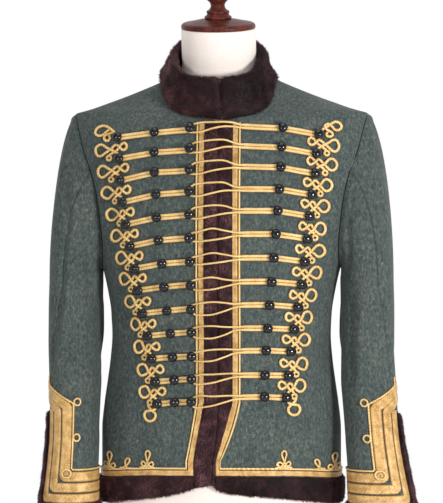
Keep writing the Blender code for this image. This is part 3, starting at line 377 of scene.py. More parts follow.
def on_sleeve(phi, v, h, side):
    """Points at height h over the sleeve, with its folds and the left one's flare."""
    phi, v, h = np.broadcast_arrays(*[np.asarray(q, float) for q in (phi, v, h)])
    p = sleeve(phi, v)
    w = sleeve(phi, v + 0.01) - sleeve(phi, np.maximum(v - 0.01, 0))
    n = unit(np.cross(round_sleeve(phi, v), w))
    # Folds are placed on the ring as it stands, so its turn is taken into account
    z = p[..., 2]
    at = (phi + ring_turn(z)) % 360
    rows = [(p0 * DEGREE, z0, p1 * DEGREE, *rest) for p0, z0, p1, *rest, only in SLEEVE_FOLDS
            if only in (0, side)]
    fold = crease(rows, at * DEGREE, z)
    for which, width, high, points in SLEEVE_LINES:
        if which == side:
            off = (at - table(points, 1, z)) * DEGREE
            fold = fold + LINE_GAIN * high * np.exp(-(off / width) ** 2) \
                * smooth((points[0][0] - z) / 30) * smooth((z - points[-1][0]) / 30)
    fold = fold * smooth((2 - v) / 0.28) * smooth(v / 0.3)
    p = p + n * (h + fold)[..., None]
    if side > 0:
        x0, x1 = table(SLEEVE, 1, z), table(SLEEVE, 2, z)
        share = (p[..., 0] - x0) / (x1 - x0)
        p[..., 0] += line(FLARE, 1, z) + share * line(FLARE, 2, z)
    return p * np.array((side, 1, 1))


# The cuff is measured round the ring from its outermost line, forward positive

def cuff_arc():
    z = 340.0
    levels = [582, 525, 470, 415, 350, CUFF_END]
    k = max(i for i in range(5) if levels[i] >= z)
    t = (levels[k] - z) / (levels[k] - levels[k + 1])
    rows = [sleeve(np.array(SLEEVE_PHI, float), down_at(q)) for q in levels[k:k + 2]]
    pts = rows[0] * (1 - t) + rows[1] * t
    sums = run_length(np.vstack([pts, pts[:1]]))
    return sums, sums[int(np.argmax(pts[:, 0]))]


ARC, ARC_START = cuff_arc()
ARC_ALL = ARC[-1]


def on_cuff(s, z, h, side):
    want = (ARC_START + np.asarray(s, float)) % ARC_ALL
    phi = np.interp(want, ARC, SLEEVE_PHI + [360])
    return on_sleeve(phi, down_at(z), h, side)


# Meshes. A chunk is vertices in mm, a list of face arrays, and its map in mm

def grid_faces(rows, cols, wrap_rows=False, wrap_cols=False):
    i = np.arange(rows if wrap_rows else rows - 1)[:, None]
    j = np.arange(cols if wrap_cols else cols - 1)[None, :]
    i2, j2 = (i + 1) % rows, (j + 1) % cols
    f = np.stack([i * cols + j, i * cols + j2, i2 * cols + j2, i2 * cols + j], -1)
    return f.reshape(-1, 4)


def outward(verts, faces):
    """Faces turned so that the closed surface encloses a positive volume."""
    total = 0.0
    centre = verts.mean(0)
    for f in faces:
        a, b, c = verts[f[:, 0]] - centre, verts[f[:, 1]] - centre, verts[f[:, 2]] - centre
        total += np.einsum("ij,ij->i", a, np.cross(b, c)).sum()
        if f.shape[1] == 4:
            d = verts[f[:, 3]] - centre
            total += np.einsum("ij,ij->i", a, np.cross(c, d)).sum()
    return faces if total > 0 else [f[:, ::-1] for f in faces]


def shell(outer, inner, uv):
    """Closed thin wall between two grids of points."""
    r, c = outer.shape[:2]
    n = r * c
    f = grid_faces(r, c)
    idx = np.arange(n).reshape(r, c)
    edge = np.concatenate([idx[0, :-1], idx[:-1, -1], idx[-1, :0:-1], idx[:0:-1, 0]])
    nxt = np.roll(edge, -1)
    rim = np.stack([edge, nxt, nxt + n, edge + n], -1)
    verts = np.vstack([outer.reshape(-1, 3), inner.reshape(-1, 3)])
    faces = [f, (f + n)[:, ::-1], rim[:, ::-1]]
    return verts, outward(verts, faces), np.vstack([uv.reshape(-1, 2)] * 2)


def tube(rings, closed=False, uv=None):
    """Solid through a stack of closed sections; the ends are closed by a fan."""
    r, c = rings.shape[:2]
    verts = rings.reshape(-1, 3)
    faces = [grid_faces(r, c, closed, True)]
    if not closed:
        verts = np.vstack([verts, rings[0].mean(0), rings[-1].mean(0)])
        j = np.arange(c)
        faces.append(np.stack([(j + 1) % c, j, np.full(c, r * c)], -1))
        faces.append(np.stack([(r - 1) * c + j, (r - 1) * c + (j + 1) % c, np.full(c, r * c + 1)], -1))
    if uv is None:
        uv = np.zeros((len(verts), 2))
    elif len(uv) < len(verts):
        uv = np.vstack([uv, uv[:1], uv[-1:]])
    return verts, outward(verts, faces), uv


def make(name, chunks, mat, nodes=(), normals=None):
    verts = (np.concatenate([c[0] for c in chunks]) - SET_OVER) * MM
    uvs = np.concatenate([c[2] for c in chunks]) * MM
    loops, starts, base, at = [], [], 0, 0
    for v, faces, _ in chunks:
        for f in faces:
            loops.append((f + base).ravel())
            starts.append(at + np.arange(len(f)) * f.shape[1])
            at += f.size
        base += len(v)
    loops, starts = np.concatenate(loops).astype(np.int32), np.concatenate(starts).astype(np.int32)
    me = bpy.data.meshes.new(name)
    me.vertices.add(len(verts))
    me.vertices.foreach_set("co", verts.astype(np.float32).ravel())
    me.loops.add(len(loops))
    me.loops.foreach_set("vertex_index", loops)
    me.polygons.add(len(starts))
    me.polygons.foreach_set("loop_start", starts)
    me.polygons.foreach_set("use_smooth", np.ones(len(starts), bool))
    layer = me.uv_layers.new(name="cloth")
    layer.data.foreach_set("uv", uvs[loops].astype(np.float32).ravel())
    me.update(calc_edges=True)
    me.validate()
    if normals is not None:
        me.normals_split_custom_set_from_vertices([tuple(n) for n in normals])
    me.materials.append(mat)
    ob = bpy.data.objects.new(name, me)
    bpy.context.scene.collection.objects.link(ob)
    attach(ob, "root")
    if nodes:
        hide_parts(*nodes)
    return ob


# Materials

class Nodes:
    """Short hand for the nodes of a material or the world."""

    def __init__(self, owner, shader="Principled BSDF", **values):
        owner.use_nodes = True
        self.owner, self.tree = owner, owner.node_tree
        self.shader = self.tree.nodes[shader]
        for key, value in values.items():
            self.put(self.shader.inputs[key.replace("_", " ")], value)

    def put(self, socket, value):
        if isinstance(value, bpy.types.NodeSocket):
            self.tree.links.new(value, socket)
        else:
            socket.default_value = value

    def add(self, kind, *values, **named):
        """Values go to the sockets in turn; names are settings in small letters, or sockets."""
        node = self.tree.nodes.new("ShaderNode" + kind)
        for key, value in named.items():
            if key.islower():
                setattr(node, key, value)
            else:
                self.put(node.inputs[key], value)
        for socket, value in zip(node.inputs, values):
            self.put(socket, value)
        return node

    def coords(self, kind="Object"):
        return self.add("TexCoord").outputs[kind]

    def noise(self, vector, scale, detail=2.0, rough=0.5, distort=0.0):
        return self.add("TexNoise", Vector=vector, Scale=scale, Detail=detail,
                        Roughness=rough, Distortion=distort).outputs["Fac"]

    def scaled(self, vector, x, y, z=1.0):
        return self.add("Mapping", Vector=vector, Scale=(x, y, z)).outputs[0]

    def part(self, vector, axis):
        return self.add("SeparateXYZ", vector).outputs[axis]

    def ramp(self, fac, stops):
        node = self.add("ValToRGB", fac)
        while len(node.color_ramp.elements) < len(stops):
            node.color_ramp.elements.new(0.5)
        for e, (at, rgb) in zip(node.color_ramp.elements, stops):
            e.position = at
            e.color = (*rgb, 1)
        return node.outputs[0]

    def tint(self, base, share, fac, stops):
        """The base multiplied by a ramp's colours."""
        node = self.add("Mix", data_type="RGBA", blend_type="MULTIPLY")
        for i, value in ((0, share), (6, base), (7, self.ramp(fac, stops))):
            self.put(node.inputs[i], value)
        return node.outputs[2]

    def math(self, operation, *values):
        return self.add("Math", *values, operation=operation).outputs[0]

    def blend(self, a, share_a, b, share_b):
        return self.math("ADD", self.math("MULTIPLY", a, share_a), self.math("MULTIPLY", b, share_b))

    def link(self, output, socket):
        self.put(self.shader.inputs[socket], output)

    def finish(self, base, height, distance, strength):
        bump = self.add("Bump", Height=height, Distance=distance, Strength=strength)
        self.link(base, "Base Color")
        self.link(bump.outputs[0], "Normal")
        return self.owner


def material(name, **values):
    return Nodes(bpy.data.materials.new(name), **values)


WHITE = (1, 1, 1)


def wool():
    n = material("wool", Roughness=0.95, Sheen_Weight=0.12, Sheen_Roughness=0.5,
                 Sheen_Tint=(0.70, 0.74, 0.72, 1), Specular_IOR_Level=0.10)
    place, uv = n.coords(), n.coords("UV")
    warp = n.noise(n.scaled(uv, 900, 170), 1.0, 2.0, 0.6)
    weft = n.noise(n.scaled(uv, 170, 900), 1.0, 2.0, 0.6)
    speck = n.noise(place, 420, 2.0, 0.7)
    cloud = n.noise(n.scaled(place, 260, 260, 150), 1.0, 3.0, 0.65)
    # Heather of green, blue-grey and fawn fibres
    base = n.ramp(cloud, [(0.28, (0.032, 0.050, 0.056)), (0.42, (0.050, 0.068, 0.068)),
                          (0.50, (0.064, 0.082, 0.076)), (0.58, (0.082, 0.096, 0.086)),
                          (0.72, (0.130, 0.134, 0.116))])
    threads = n.blend(warp, 0.5, weft, 0.5)
    base = n.tint(base, 0.85, threads, [(0.36, (0.62, 0.63, 0.65)), (0.5, WHITE), (0.64, (1.50, 1.46, 1.42))])
    base = n.tint(base, 0.6, speck, [(0.34, (0.60, 0.62, 0.66)), (0.5, WHITE), (0.68, (1.55, 1.46, 1.36))])
    base = n.tint(base, 0.7, n.noise(place, 22), [(0.3, (0.84, 0.87, 0.90)), (0.7, (1.16, 1.13, 1.09))])
    return n.finish(base, n.math("ADD", threads, n.math("MULTIPLY", speck, 0.6)), 0.0007, 0.7)


def fur_material(name, dark, mid, light):
    n = material(name, Roughness=0.62, Sheen_Weight=0.16, Sheen_Roughness=0.35,
                 Sheen_Tint=(0.80, 0.46, 0.50, 1), Specular_IOR_Level=0.18)
    place = n.coords()
    tuft = n.noise(place, 70, 3.0, 0.6, 0.6)
    fine = n.noise(place, 420, 2.0, 0.6)
    base = n.ramp(n.blend(tuft, 0.55, n.noise(place, 24), 0.45), [(0.38, dark), (0.5, mid), (0.60, light)])
    base = n.tint(base, 0.7, fine, [(0.3, (0.6, 0.58, 0.6)), (0.5, WHITE), (0.7, (1.5, 1.45, 1.45))])
    # Painted light and shade: the fur is painted lighter towards the wearer's right and darker towards the
    # wearer's left
    light_across = [(0.05, (1.5, 1.5, 1.55)), (0.42, (1.35, 1.3, 1.3)), (0.53, (0.62, 0.54, 0.56)),
            (0.66, (0.44, 0.38, 0.42)), (0.95, (0.95, 0.90, 0.94))]
    base = n.tint(base, 1.0, n.math("MULTIPLY_ADD", n.part(place, "X"), 1.6, 0.5), light_across)
    return n.finish(base, fine, 0.0008, 0.6)


def gold(name, deep, mid, light, grain, metal, twist, fall, fall_from, foot):
    """The thread's colours and grain; fall and foot shade it by its height or place across."""
    n = material(name, Roughness=0.5, Metallic=metal, Specular_IOR_Level=0.5,
                 Sheen_Weight=0.10, Sheen_Roughness=0.4, Sheen_Tint=(1.0, 0.86, 0.6, 1))
    place, uv = n.coords(), n.coords("UV")
    speck = n.noise(place, grain, 2.0, 0.65)
    ply = n.add("TexWave", Vector=n.scaled(uv, 1, 1), Scale=150.0, Distortion=1.2, Detail=1.0,
                bands_direction="DIAGONAL").outputs["Fac"]
    mixed = n.math("ADD", n.math("MULTIPLY", speck, 0.55),
                   n.blend(n.noise(place, 75), 0.45 - twist, ply, twist))
    base = n.ramp(mixed, [(0.36, deep), (0.5, mid), (0.64, light)])
    # Painted shade darkens the cord low down beside the cloth and a painted highlight lightens its crest; on
    # the lace, painted shade darkens the inner edge where the fur lies over it, the darker middle line is part
    # of its pattern, and the outer edge is darker too
    base = n.tint(base, 1.0, n.math("MULTIPLY_ADD", n.part(uv, "Y"), fall, fall_from), foot)
    return n.finish(base, n.math("ADD", n.math("MULTIPLY", ply, twist * 5), speck), 0.0004, 0.7)


def button_material():
    n = material("button", Specular_IOR_Level=0.55)
    place = n.coords()
    n.link(n.ramp(n.noise(place, 260), [(0.3, (0.0015, 0.0012, 0.0025)), (0.7, (0.004, 0.0034, 0.006))]),
           "Base Color")
    n.link(n.math("MULTIPLY_ADD", n.noise(place, 500, 2.0, 0.6), 0.05, 0.05), "Roughness")
    return n.owner


def jersey():
    n = material("form_cloth", Roughness=0.85, Sheen_Weight=0.15, Sheen_Roughness=0.5, Specular_IOR_Level=0.2)
    place = n.coords()
    knit = n.noise(n.scaled(place, 900, 900, 260), 1.0)
    base = n.ramp(n.noise(place, 9), [(0.3, (0.82, 0.73, 0.665)), (0.7, (0.89, 0.81, 0.745))])
    base = n.tint(base, 0.35, knit, [(0.35, (0.86, 0.84, 0.82)), (0.65, (1.05, 1.05, 1.05))])
    return n.finish(base, knit, 0.0003, 0.5)


def mahogany():
    n = material("mahogany", Roughness=0.38, Specular_IOR_Level=0.14)
    place = n.coords()
    grain = n.noise(n.scaled(place, 60, 60, 9), 2.0, 4.0, 0.6, 1.2)
    pore = n.noise(n.scaled(place, 900, 900, 60), 1.0, 2.0, 0.6)
    base = n.ramp(grain, [(0.32, (0.045, 0.009, 0.007)), (0.5, (0.092, 0.018, 0.013)),
                          (0.68, (0.155, 0.036, 0.024))])
    base = n.tint(base, 0.5, pore, [(0.36, (0.55, 0.5, 0.5)), (0.5, WHITE)])
    return n.finish(base, pore, 0.00015, 0.4)

WOOL = wool()
HIDE = fur_material("fur_hide", (0.010, 0.004, 0.005), (0.016, 0.007, 0.008), (0.026, 0.012, 0.012))
PILE = fur_material("fur_pile", (0.012, 0.004, 0.005), (0.036, 0.0120, 0.0140), (0.094, 0.036, 0.039))
# A lighter copy of the pile for the front strips: painted light, as they face the lamps with less shade
PILE_LIT = fur_material("fur_pile_lit", (0.030, 0.011, 0.013), (0.092, 0.036, 0.041), (0.21, 0.096, 0.104))
# The last ramp of each is painted light: shade at the cord's foot and a highlight on its crest; on the lace,
# painted shade at the inner edge beside the fur, a darker pattern line in the middle and a darker outer edge
CORD = gold("gold_cord", (0.50, 0.27, 0.07), (0.74, 0.47, 0.155), (0.92, 0.70, 0.34), 900.0, 0.10, 0.2,
            50.0, 0.5, [(0.10, (0.22, 0.14, 0.08)), (0.55, (0.64, 0.52, 0.39)), (0.80, (1.0, 0.97, 0.90)),
                        (0.97, (1.08, 1.10, 1.16))])
LACE = gold("gold_lace", (0.32, 0.17, 0.05), (0.58, 0.36, 0.12), (0.80, 0.58, 0.29), 620.0, 0.12, 0.04,
            111.0, 0.0, [(0.02, (0.62, 0.50, 0.36)), (0.14, (1.0, 0.97, 0.92)), (0.45, (0.88, 0.80, 0.68)),
                         (0.86, (1, 0.97, 0.92)), (0.98, (0.62, 0.50, 0.36))])
BUTTON = button_material()
JERSEY = jersey()
WOOD = mahogany()


# Cloth

def grid_length(p, axis):
    """Length down each column (axis 0) or along each row (axis 1) of a grid of points."""
    step = np.linalg.norm(np.diff(p, axis=axis), axis=2)
    return np.insert(np.cumsum(step, axis), 0, 0.0, axis)


# The lower armhole seam lies back in a groove with a deep soft shadow: depth and half width
GROOVE, GROOVE_HALF = 5.0, 4.6


def groove(d, z, way):
    """Both cloths go back together, so that the seam between them stays closed."""
    back = np.zeros(np.shape(z) + (3,))
    reach = smooth((800 - z) / 40) * smooth((z - 668) / 30)
    back[..., 1] = way * GROOVE * np.exp(-(d / GROOVE_HALF) ** 2) * reach
    return back


def seam_relief(d):
    """A sewn edge turns in and leaves a soft ridge beside it."""
    return -1.1 * np.exp(-(d / 2.0) ** 2) + 0.45 * np.exp(-((d - 6.0) / 3.5) ** 2)


def hem_z(a, level, column):
    """Height of the hem at an angle of the body; its section is read at this level."""
    x = np.where(np.asarray(a) < 90, body(np.minimum(a, 90), level)[..., 0], HEM[-1][0])
    return line(HEM, column, x)


PANEL_COLS, NECK_ROWS, ARM_ROWS, LOW_ROWS = 69, 15, 66, 50


def panel(front, side):
    q = np.linspace(0, 1, PANEL_COLS)
    rows_a, rows_z = [], []
    centre = 0.0 if front else 180.0
    for z in np.concatenate([np.linspace(950, 897, NECK_ROWS), arm_point(np.linspace(0, 180, ARM_ROWS))[1]]):
        a0 = centre
        if front and z > NECKLINE[0][0]:
            a0 = float(angle_at(table(NECKLINE, 1, z), z))
        a1 = 90.0 if z >= ARM_TOP - 0.01 or z <= ARM_LOW + 0.01 else float(angle_at(table(ARMHOLE, 1, z), z))
        a1 = a1 if front else 180 - a1
        rows_a.append(a0 + (a1 - a0) * q)
        rows_z.append(np.full(PANEL_COLS, z))
    low_a = centre + (90.0 - centre) * q
    bottom = hem_z(low_a, FUR_LEVEL, 1) + 1.5
    for f in np.linspace(0, 1, LOW_ROWS)[1:]:
        rows_a.append(low_a)
        rows_z.append(ARM_LOW + (bottom - ARM_LOW) * f)
    a, z = np.array(rows_a), np.array(rows_z)
    flat = body(a, z)
    d = grid_length(flat, 1)
    relief = seam_relief(d[:, -1:] - d)
    if not front:
        relief = relief + seam_relief(d) * (1 - smooth((z - 925) / 20))
    shift = np.zeros_like(flat)
    inner_edge = (a[:, 0] < 0.01) | (a[:, 0] > 179.99)
    shift[inner_edge, 0, 0] = SEAM / 2
    free = (z[:, -1] >= ARM_TOP - 0.01) | (z[:, -1] <= ARM_LOW + 0.01)
    shift[free, -1, 1] = -SEAM / 2 if front else SEAM / 2
    shift[..., 0] *= side
    shift = shift + groove(d[:, -1:] - d, z, 1 if front else -1)
    outer = on_body(a, z, relief, side) + shift
    inner = on_body(a, z, -WALL, side) + shift
    uv = np.stack([d, -grid_length(flat, 0)], -1)
    return outer, shell(outer, inner, uv)


sheets = {}


def cloth(node, outer, chunk):
    """Makes the piece for a node of the part, and keeps the area of its outer face in square metres."""
    p, name = outer, "cloth_" + node
    a = np.cross(p[1:, :-1] - p[:-1, :-1], p[:-1, 1:] - p[:-1, :-1])
    b = np.cross(p[1:, :-1] - p[1:, 1:], p[:-1, 1:] - p[1:, 1:])
    sheets[name] = (np.linalg.norm(a, axis=2).sum() + np.linalg.norm(b, axis=2).sum()) / 2 * 1e-6
    make(name, [chunk], WOOL, [node])


for side, name in SIDES:
    for front in (True, False):
        cloth(("front_" if front else "back_") + name, *panel(front, side))

# The sleeve's rows stand closer at its head
SLEEVE_ROWS = np.concatenate([0.006 + (np.linspace(0, 1, 34) ** 1.3) * 0.994, np.linspace(1, 2, 84)[1:]])


def sleeve_piece(first, last, cols, side):
    phi = np.linspace(first, last, cols)[None, :]
    v = SLEEVE_ROWS[:, None]
    flat = sleeve(phi, v)
    d = grid_length(flat, 1)
    relief = seam_relief(d) + seam_relief(d[:, -1:] - d)
    # The sleeve head is eased in: a low rounded roll with slight puckers beside the armhole seam
    from_seam = grid_length(flat, 0)
    top = smooth((np.cos(np.radians(phi)) + 0.45) / 0.9)
    roll = 1.6 * np.exp(-((from_seam - 7.0) / 5.0) ** 2) * top
    pucker = 0.28 * np.sin(np.radians(phi) * 31 + 0.8 * np.sin(np.radians(phi) * 9)) \
        * np.exp(-(from_seam / 14.0) ** 2) * top
    relief = relief * smooth((v - 0.1) / 0.3) + roll + pucker
    u = round_sleeve(phi[:, [0, -1]], v)
    shift = np.zeros_like(flat)
    shift[:, 0] = unit(u[:, 0]) * SEAM / 2
    shift[:, -1] = -unit(u[:, 1]) * SEAM / 2
    shift = shift * np.array((side, 1, 1))
    # By the seam's own height, as on the panels
    shift = shift + groove(from_seam, flat[:1, :, 2] + 0 * flat[..., 2], np.where(phi % 360 < 180, 1, -1))
    outer = on_sleeve(phi, v, relief, side) + shift
    inner = on_sleeve(phi, v, -WALL, side) + shift
    return outer, shell(outer, inner, np.stack([d, -from_seam], -1))


for side, name in SIDES:
    for part, first, last, cols in (("under", SEAM_FRONT, SEAM_BACK, 44),
                                    ("top", SEAM_BACK, 360 + SEAM_FRONT, 46)):
        cloth("sleeve_%s_%s" % (part, name), *sleeve_piece(first, last, cols, side))


# Fur: a low rounded hide with its pile standing in it

def pile(name, grid, normals, comb, per_mm2, length, wrap, coat):
    """Short curved hairs over a grid of points. comb is the way the pile is brushed, per point."""
    r, c = grid.shape[:2]
    quads = grid_faces(r, c, *wrap)
    p, n = grid.reshape(-1, 3), normals.reshape(-1, 3)
    lay = comb.reshape(-1, 3)
    a, b, d = p[quads[:, 0]], p[quads[:, 1]], p[quads[:, 3]]
    area = np.linalg.norm(np.cross(b - a, d - a), axis=1)
    count = int(area.sum() * per_mm2)
    pick = rng.choice(len(quads), count, p=area / area.sum())
    s, t = rng.random((count, 1)), rng.random((count, 1))
    corners = quads[pick]

    def at(values):
        return (values[corners[:, 0]] * (1 - s) * (1 - t) + values[corners[:, 1]] * s * (1 - t)
                + values[corners[:, 2]] * s * t + values[corners[:, 3]] * (1 - s) * t)

    root, up, way = at(p), unit(at(n)), at(lay)
    # Neighbouring hairs lean together in tufts
    swirl = np.stack([np.sin(root[:, 0] * 0.21 + root[:, 2] * 0.17 + 3 * np.sin(root[:, 2] * 0.045)),
                      np.sin(root[:, 1] * 0.19 + root[:, 0] * 0.13 + 1.3),
                      np.sin(root[:, 2] * 0.23 - root[:, 0] * 0.11 + 2 * np.sin(root[:, 0] * 0.06))], 1)
    lean = unit(up * 0.62 + way * 0.62 + swirl * 0.30 + rng.normal(0, 0.20, (count, 3)))
    size = length * rng.uniform(0.7, 1.12, (count, 1))
    x = unit(np.cross(lean, rng.normal(0, 1, (count, 3))))
    y = np.cross(lean, x)
    wide = rng.uniform(0.40, 0.62, (count, 1))
    base = root - up * 0.5
    ring = [base + (x * cos(k) + y * sin(k)) * wide for k in (0, 2 * pi / 3, 4 * pi / 3)]
    tip = base + lean * size + way * 0.6
    verts = np.stack(ring + [tip], 1).reshape(-1, 3)
    k = np.arange(count)[:, None] * 4
    faces = np.concatenate([k + f for f in ([0, 1, 3], [1, 2, 3], [2, 0, 3], [0, 2, 1])], 1).reshape(-1, 3)
    shade = unit(up * 0.9 + lean * 0.5 + rng.normal(0, 0.10, (count, 3)))
    normal = np.repeat(shade, 4, 0)
    uv = np.zeros((len(verts), 2))
    uv[3::4, 1] = 1000.0
    make(name, [(verts, outward(verts, [faces]), uv)], coat, (), normal)


def grid_normals(p, wrap, middle):
    """Normals of a grid, turned away from its middle line."""
    def diff(axis):
        if wrap[axis]:
            return np.roll(p, -1, axis) - np.roll(p, 1, axis)
        return np.gradient(p, axis=axis)
    n = unit(np.cross(diff(1), diff(0)))
    return n if (n * (p - middle)).sum() >= 0 else -n


def in_plane(way, n):
    return way - n * (way * n).sum(-1, keepdims=True)


def rounded(n_top, n_side=0.42):
    """Section of a low rounded strip as (across 0..1, height 0..1), from one edge over to the other."""
    t = np.linspace(0, pi, n_top)
    return np.stack([0.5 - 0.5 * spow(np.cos(t), 0.8), spow(np.sin(t), n_side)], 1)


# Hairs to a square millimetre, their length, and the height of the hide below them
DENSE, HAIR, HIDE_H = 0.54, 4.6, 4.6


def fur_piece(name, nodes, place, stations, section, comb=(0, 0, -0.9), closed=False, coat=None):
    """place(station, across, height) gives points; the underside lies flat on the cloth."""
    q, h = section[:, 0], section[:, 1]
    grid = place(stations[:, None], q[None, :], h[None, :])
    under = place(stations[:, None], q[None, ::-1][:, 1:-1], h[None, ::-1][:, 1:-1] * 0)
    rings = np.concatenate([grid, under], 1)
    make(name, [tube(rings, closed)], HIDE, nodes)
    n = grid_normals(grid, (closed, False), rings.mean(1, keepdims=True))
    pile(name + "_pile", grid, n, in_plane(np.array(comb), n), DENSE, HAIR, (closed, False), coat or PILE)


def strip_place(side):
    def place(z, q, h):
        x = 0.9 + (FUR_EDGE - 1.6) * q
        low = line(HEM, 1, x) + 1.6
        zz = 873.0 + (low - 873.0) * z
        return on_body(angle_at(x, zz), zz, 0.5 + HIDE_H * h, side)
    return place


# The front strips wear the lighter copy of the pile, which is painted light
for side, name in SIDES:
    fur_piece("fur_strip_" + name, ["fur_front_" + name], strip_place(side), np.linspace(0, 1, 200),
              rounded(13), (0, -0.1, -0.9), coat=PILE_LIT)

start = float(angle_at(FUR_EDGE + 0.8, 320))
HEM_A = start + (180 - start) * np.linspace(0, 1, 190) ** 0.96


def hem_place(side):
    def place(a, q, h):
        low, top = hem_z(a, FUR_LEVEL, 1), hem_z(a, FUR_LEVEL, 2)
        z = low + 1.0 + (top - low - 2.0) * q
        p = on_body(a, z, 0.5 + HIDE_H * h, side)
        p[..., 0] += SEAM * side * (a > 179.99)
        return p
    return place


for side, name in SIDES:
    fur_piece("fur_band_" + name, ["fur_hem_" + name], hem_place(side), HEM_A, rounded(17))

FUR_TOP = 299.3
SPIKE_FUR = [(-24, FUR_TOP), (-12, 330), (4, 425), (30.6, 436), (31.2, FUR_TOP)]
CUFF_S = np.sort(np.concatenate([np.linspace(-24, 30.6, 40), [30.9, 31.2],
                                 np.linspace(31.2, ARC_ALL - 24, 84)[1:-1]]))


def cuff_place(side):
    def place(s, q, h):
        top = np.where((s <= -24) | (s >= 31.2), FUR_TOP, line(SPIKE_FUR, 1, s))
        z = CUFF_END + 0.8 + (top - CUFF_END - 1.6) * q
        return on_cuff(s, z, 0.4 + HIDE_H * h, side)
    return place


for side, name in SIDES:
    fur_piece("fur_sleeve_" + name, ["fur_cuff_" + name], cuff_place(side), CUFF_S, rounded(21, 0.3),
              closed=True)

# Collar

COLLAR_MID, COLLAR_HALF, COLLAR_LEAN = np.array((-4.0, -23.0, 987.0)), (73.0, 71.0), 0.613
STATIONS = 210     # round the collar
zs = np.linspace(878.9, 950, 90)
half = body(angle_at(table(NECKLINE, 1, zs), zs), zs)
a_end = float(angle_at(table(NECKLINE, 1, 950.0), 950.0))
half = np.vstack([half, body(np.linspace(a_end, 180, 70)[1:], 950.0)])
neckline = np.vstack([half, (half[:-1] * np.array((-1, 1, 1)))[::-1]])
s = run_length(neckline)
neckline = resample(neckline, s, STATIONS)


# How far the collar stands out by the share of its height, on the wearer's right, the middle and the left
FULLNESS = ([(0, 2.2), (0.16, 6.4), (0.36, 5.2), (0.62, 0.8), (0.85, -0.8), (1, -0.6)],
            [(0, 0), (0.42, 2.2), (1, 0)],
            [(0, -1.5), (0.3, -4.6), (0.6, -5.2), (0.85, -3), (1, -1.4)])


def collar_rings():
    """Section of the collar: up the outside, over the rounded edge and down the inside."""
    flat = neckline[:, :2] + np.array((0, 5.0))
    way = unit(np.concatenate([flat, np.zeros((len(flat), 1))], 1))
    top = np.zeros_like(way)
    corner = np.where(way[:, 1] < 0, 0.86, 1.0)
    top[:, 0] = COLLAR_MID[0] + COLLAR_HALF[0] * spow(way[:, 0], corner)
    top[:, 1] = COLLAR_MID[1] + COLLAR_HALF[1] * spow(way[:, 1], corner)
    top[:, 2] = COLLAR_MID[2] + (top[:, 1] - COLLAR_MID[1]) * COLLAR_LEAN
    low = neckline + np.array((0, 0, 0.5))
    t = np.linspace(0, 2 * pi, 65)[:-1]
    high = 0.5 - 0.5 * spow(np.cos(t), 0.55)
    thick = 3.0 * spow(np.sin(t), 0.45)
    outside = smooth(np.sin(t) * 3)
    out = way[:, :1]
    full = sum(table(rows, 1, high)[None, :] * part for rows, part in zip(
        FULLNESS, (np.maximum(-out, 0), 1 - np.abs(out), np.maximum(out, 0))))
    full = full + 0.35 * thick * np.sin(pi * high)
    # The fur is full: it swells over the lower edge and stands in soft waves of its own
    round_way = np.linspace(0, 1, len(flat))[:, None]
    swell = 1.5 * np.exp(-((high - 0.16) / 0.16) ** 2) + 0.7 * np.exp(-((high - 0.86) / 0.16) ** 2)
    lumps = np.sin(23 * round_way + 5.0 * high + 1.7 * np.sin(9 * round_way)) \
        * np.sin(7.3 * high + 11 * round_way + 0.6) * np.sin(pi * np.clip(high * 1.1, 0, 1))
    full = full + outside * (swell[None, :] + 1.1 * lumps)
    # The pile on its inside fills the rim towards the neck
    full = full - smooth(-np.sin(t) * 3) * 6.6 * smooth((high - 0.45) / 0.4)
    wave = 1.2 * np.sin(np.linspace(0, 26, len(flat)) + 2 * np.sin(np.linspace(0, 7, len(flat))))
    rings = low[:, None] * (1 - high)[None, :, None] + top[:, None] * high[None, :, None]
    rings = rings + way[:, None] * (full + thick)[..., None]
    rings[..., 2] += wave[:, None] * smooth((high[None, :] - 0.6) / 0.4)
    edge = np.linspace(0, s[-1], STATIONS)
    # The two ends meet at the centre front with rounded edges
    for part, sign in ((edge, 1), (s[-1] - edge, -1)):
        close = np.exp(-(part / 4.0) ** 2)[:, None, None]
        middle = rings.mean(1, keepdims=True)
        rings = rings + (middle - rings) * close * np.array((0, 0.55, 0.05))
        rings[..., 0] += sign * 0.45 * np.exp(-(part / 2.0) ** 2)[:, None]
        # They meet a little to the wearer's left
        rings[..., 0] += 5.2 * np.exp(-(part / 25.0) ** 2)[:, None]
    return rings, way


rings, way = collar_rings()
make("fur_collar", [tube(rings)], HIDE, ["collar"])
n = grid_normals(rings, (False, True), rings.mean(1, keepdims=True))
# Its pile is brushed round the neck and a little upwards
comb = np.cross(way, (0, 0, 1.0))[:, None] * 0.55 + np.array((0, 0, 0.35)) + 0 * rings
pile("fur_collar_pile", rings, n, in_plane(comb, n), 0.42, 4.8, (False, True), PILE)


# Gold cords, drawn flat and laid on the cloth

ROUND = 10.0     # the map of a cord runs from -ROUND at its foot to ROUND on its crest
PLY, PLY_SWELL = 4.6, 0.08     # the length of a twist of the cord and how far it swells
BALL_ROWS, BALL_COLS, BUTTON_HIGH, SHANK_R = 12, 22, 11.2, 1.8


def swept(p, place, closed, section, across_map):
    """Tube along p, which holds out and up; section(length) gives its places across and their heights."""
    if closed:
        t = unit(np.roll(p[:, :2], -1, 0) - np.roll(p[:, :2], 1, 0))
    else:
        t = unit(np.gradient(p[:, :2], axis=0))
    length = run_length(p[:, :2])[:, None]
    off, h = section(length)
    pts = place(p[:, :1] - t[:, 1:] * off, p[:, 1:2] + t[:, :1] * off, h)
    uv = np.stack(np.broadcast_arrays(length, across_map + 0 * off), -1).reshape(-1, 2)
    return tube(pts, closed, uv)


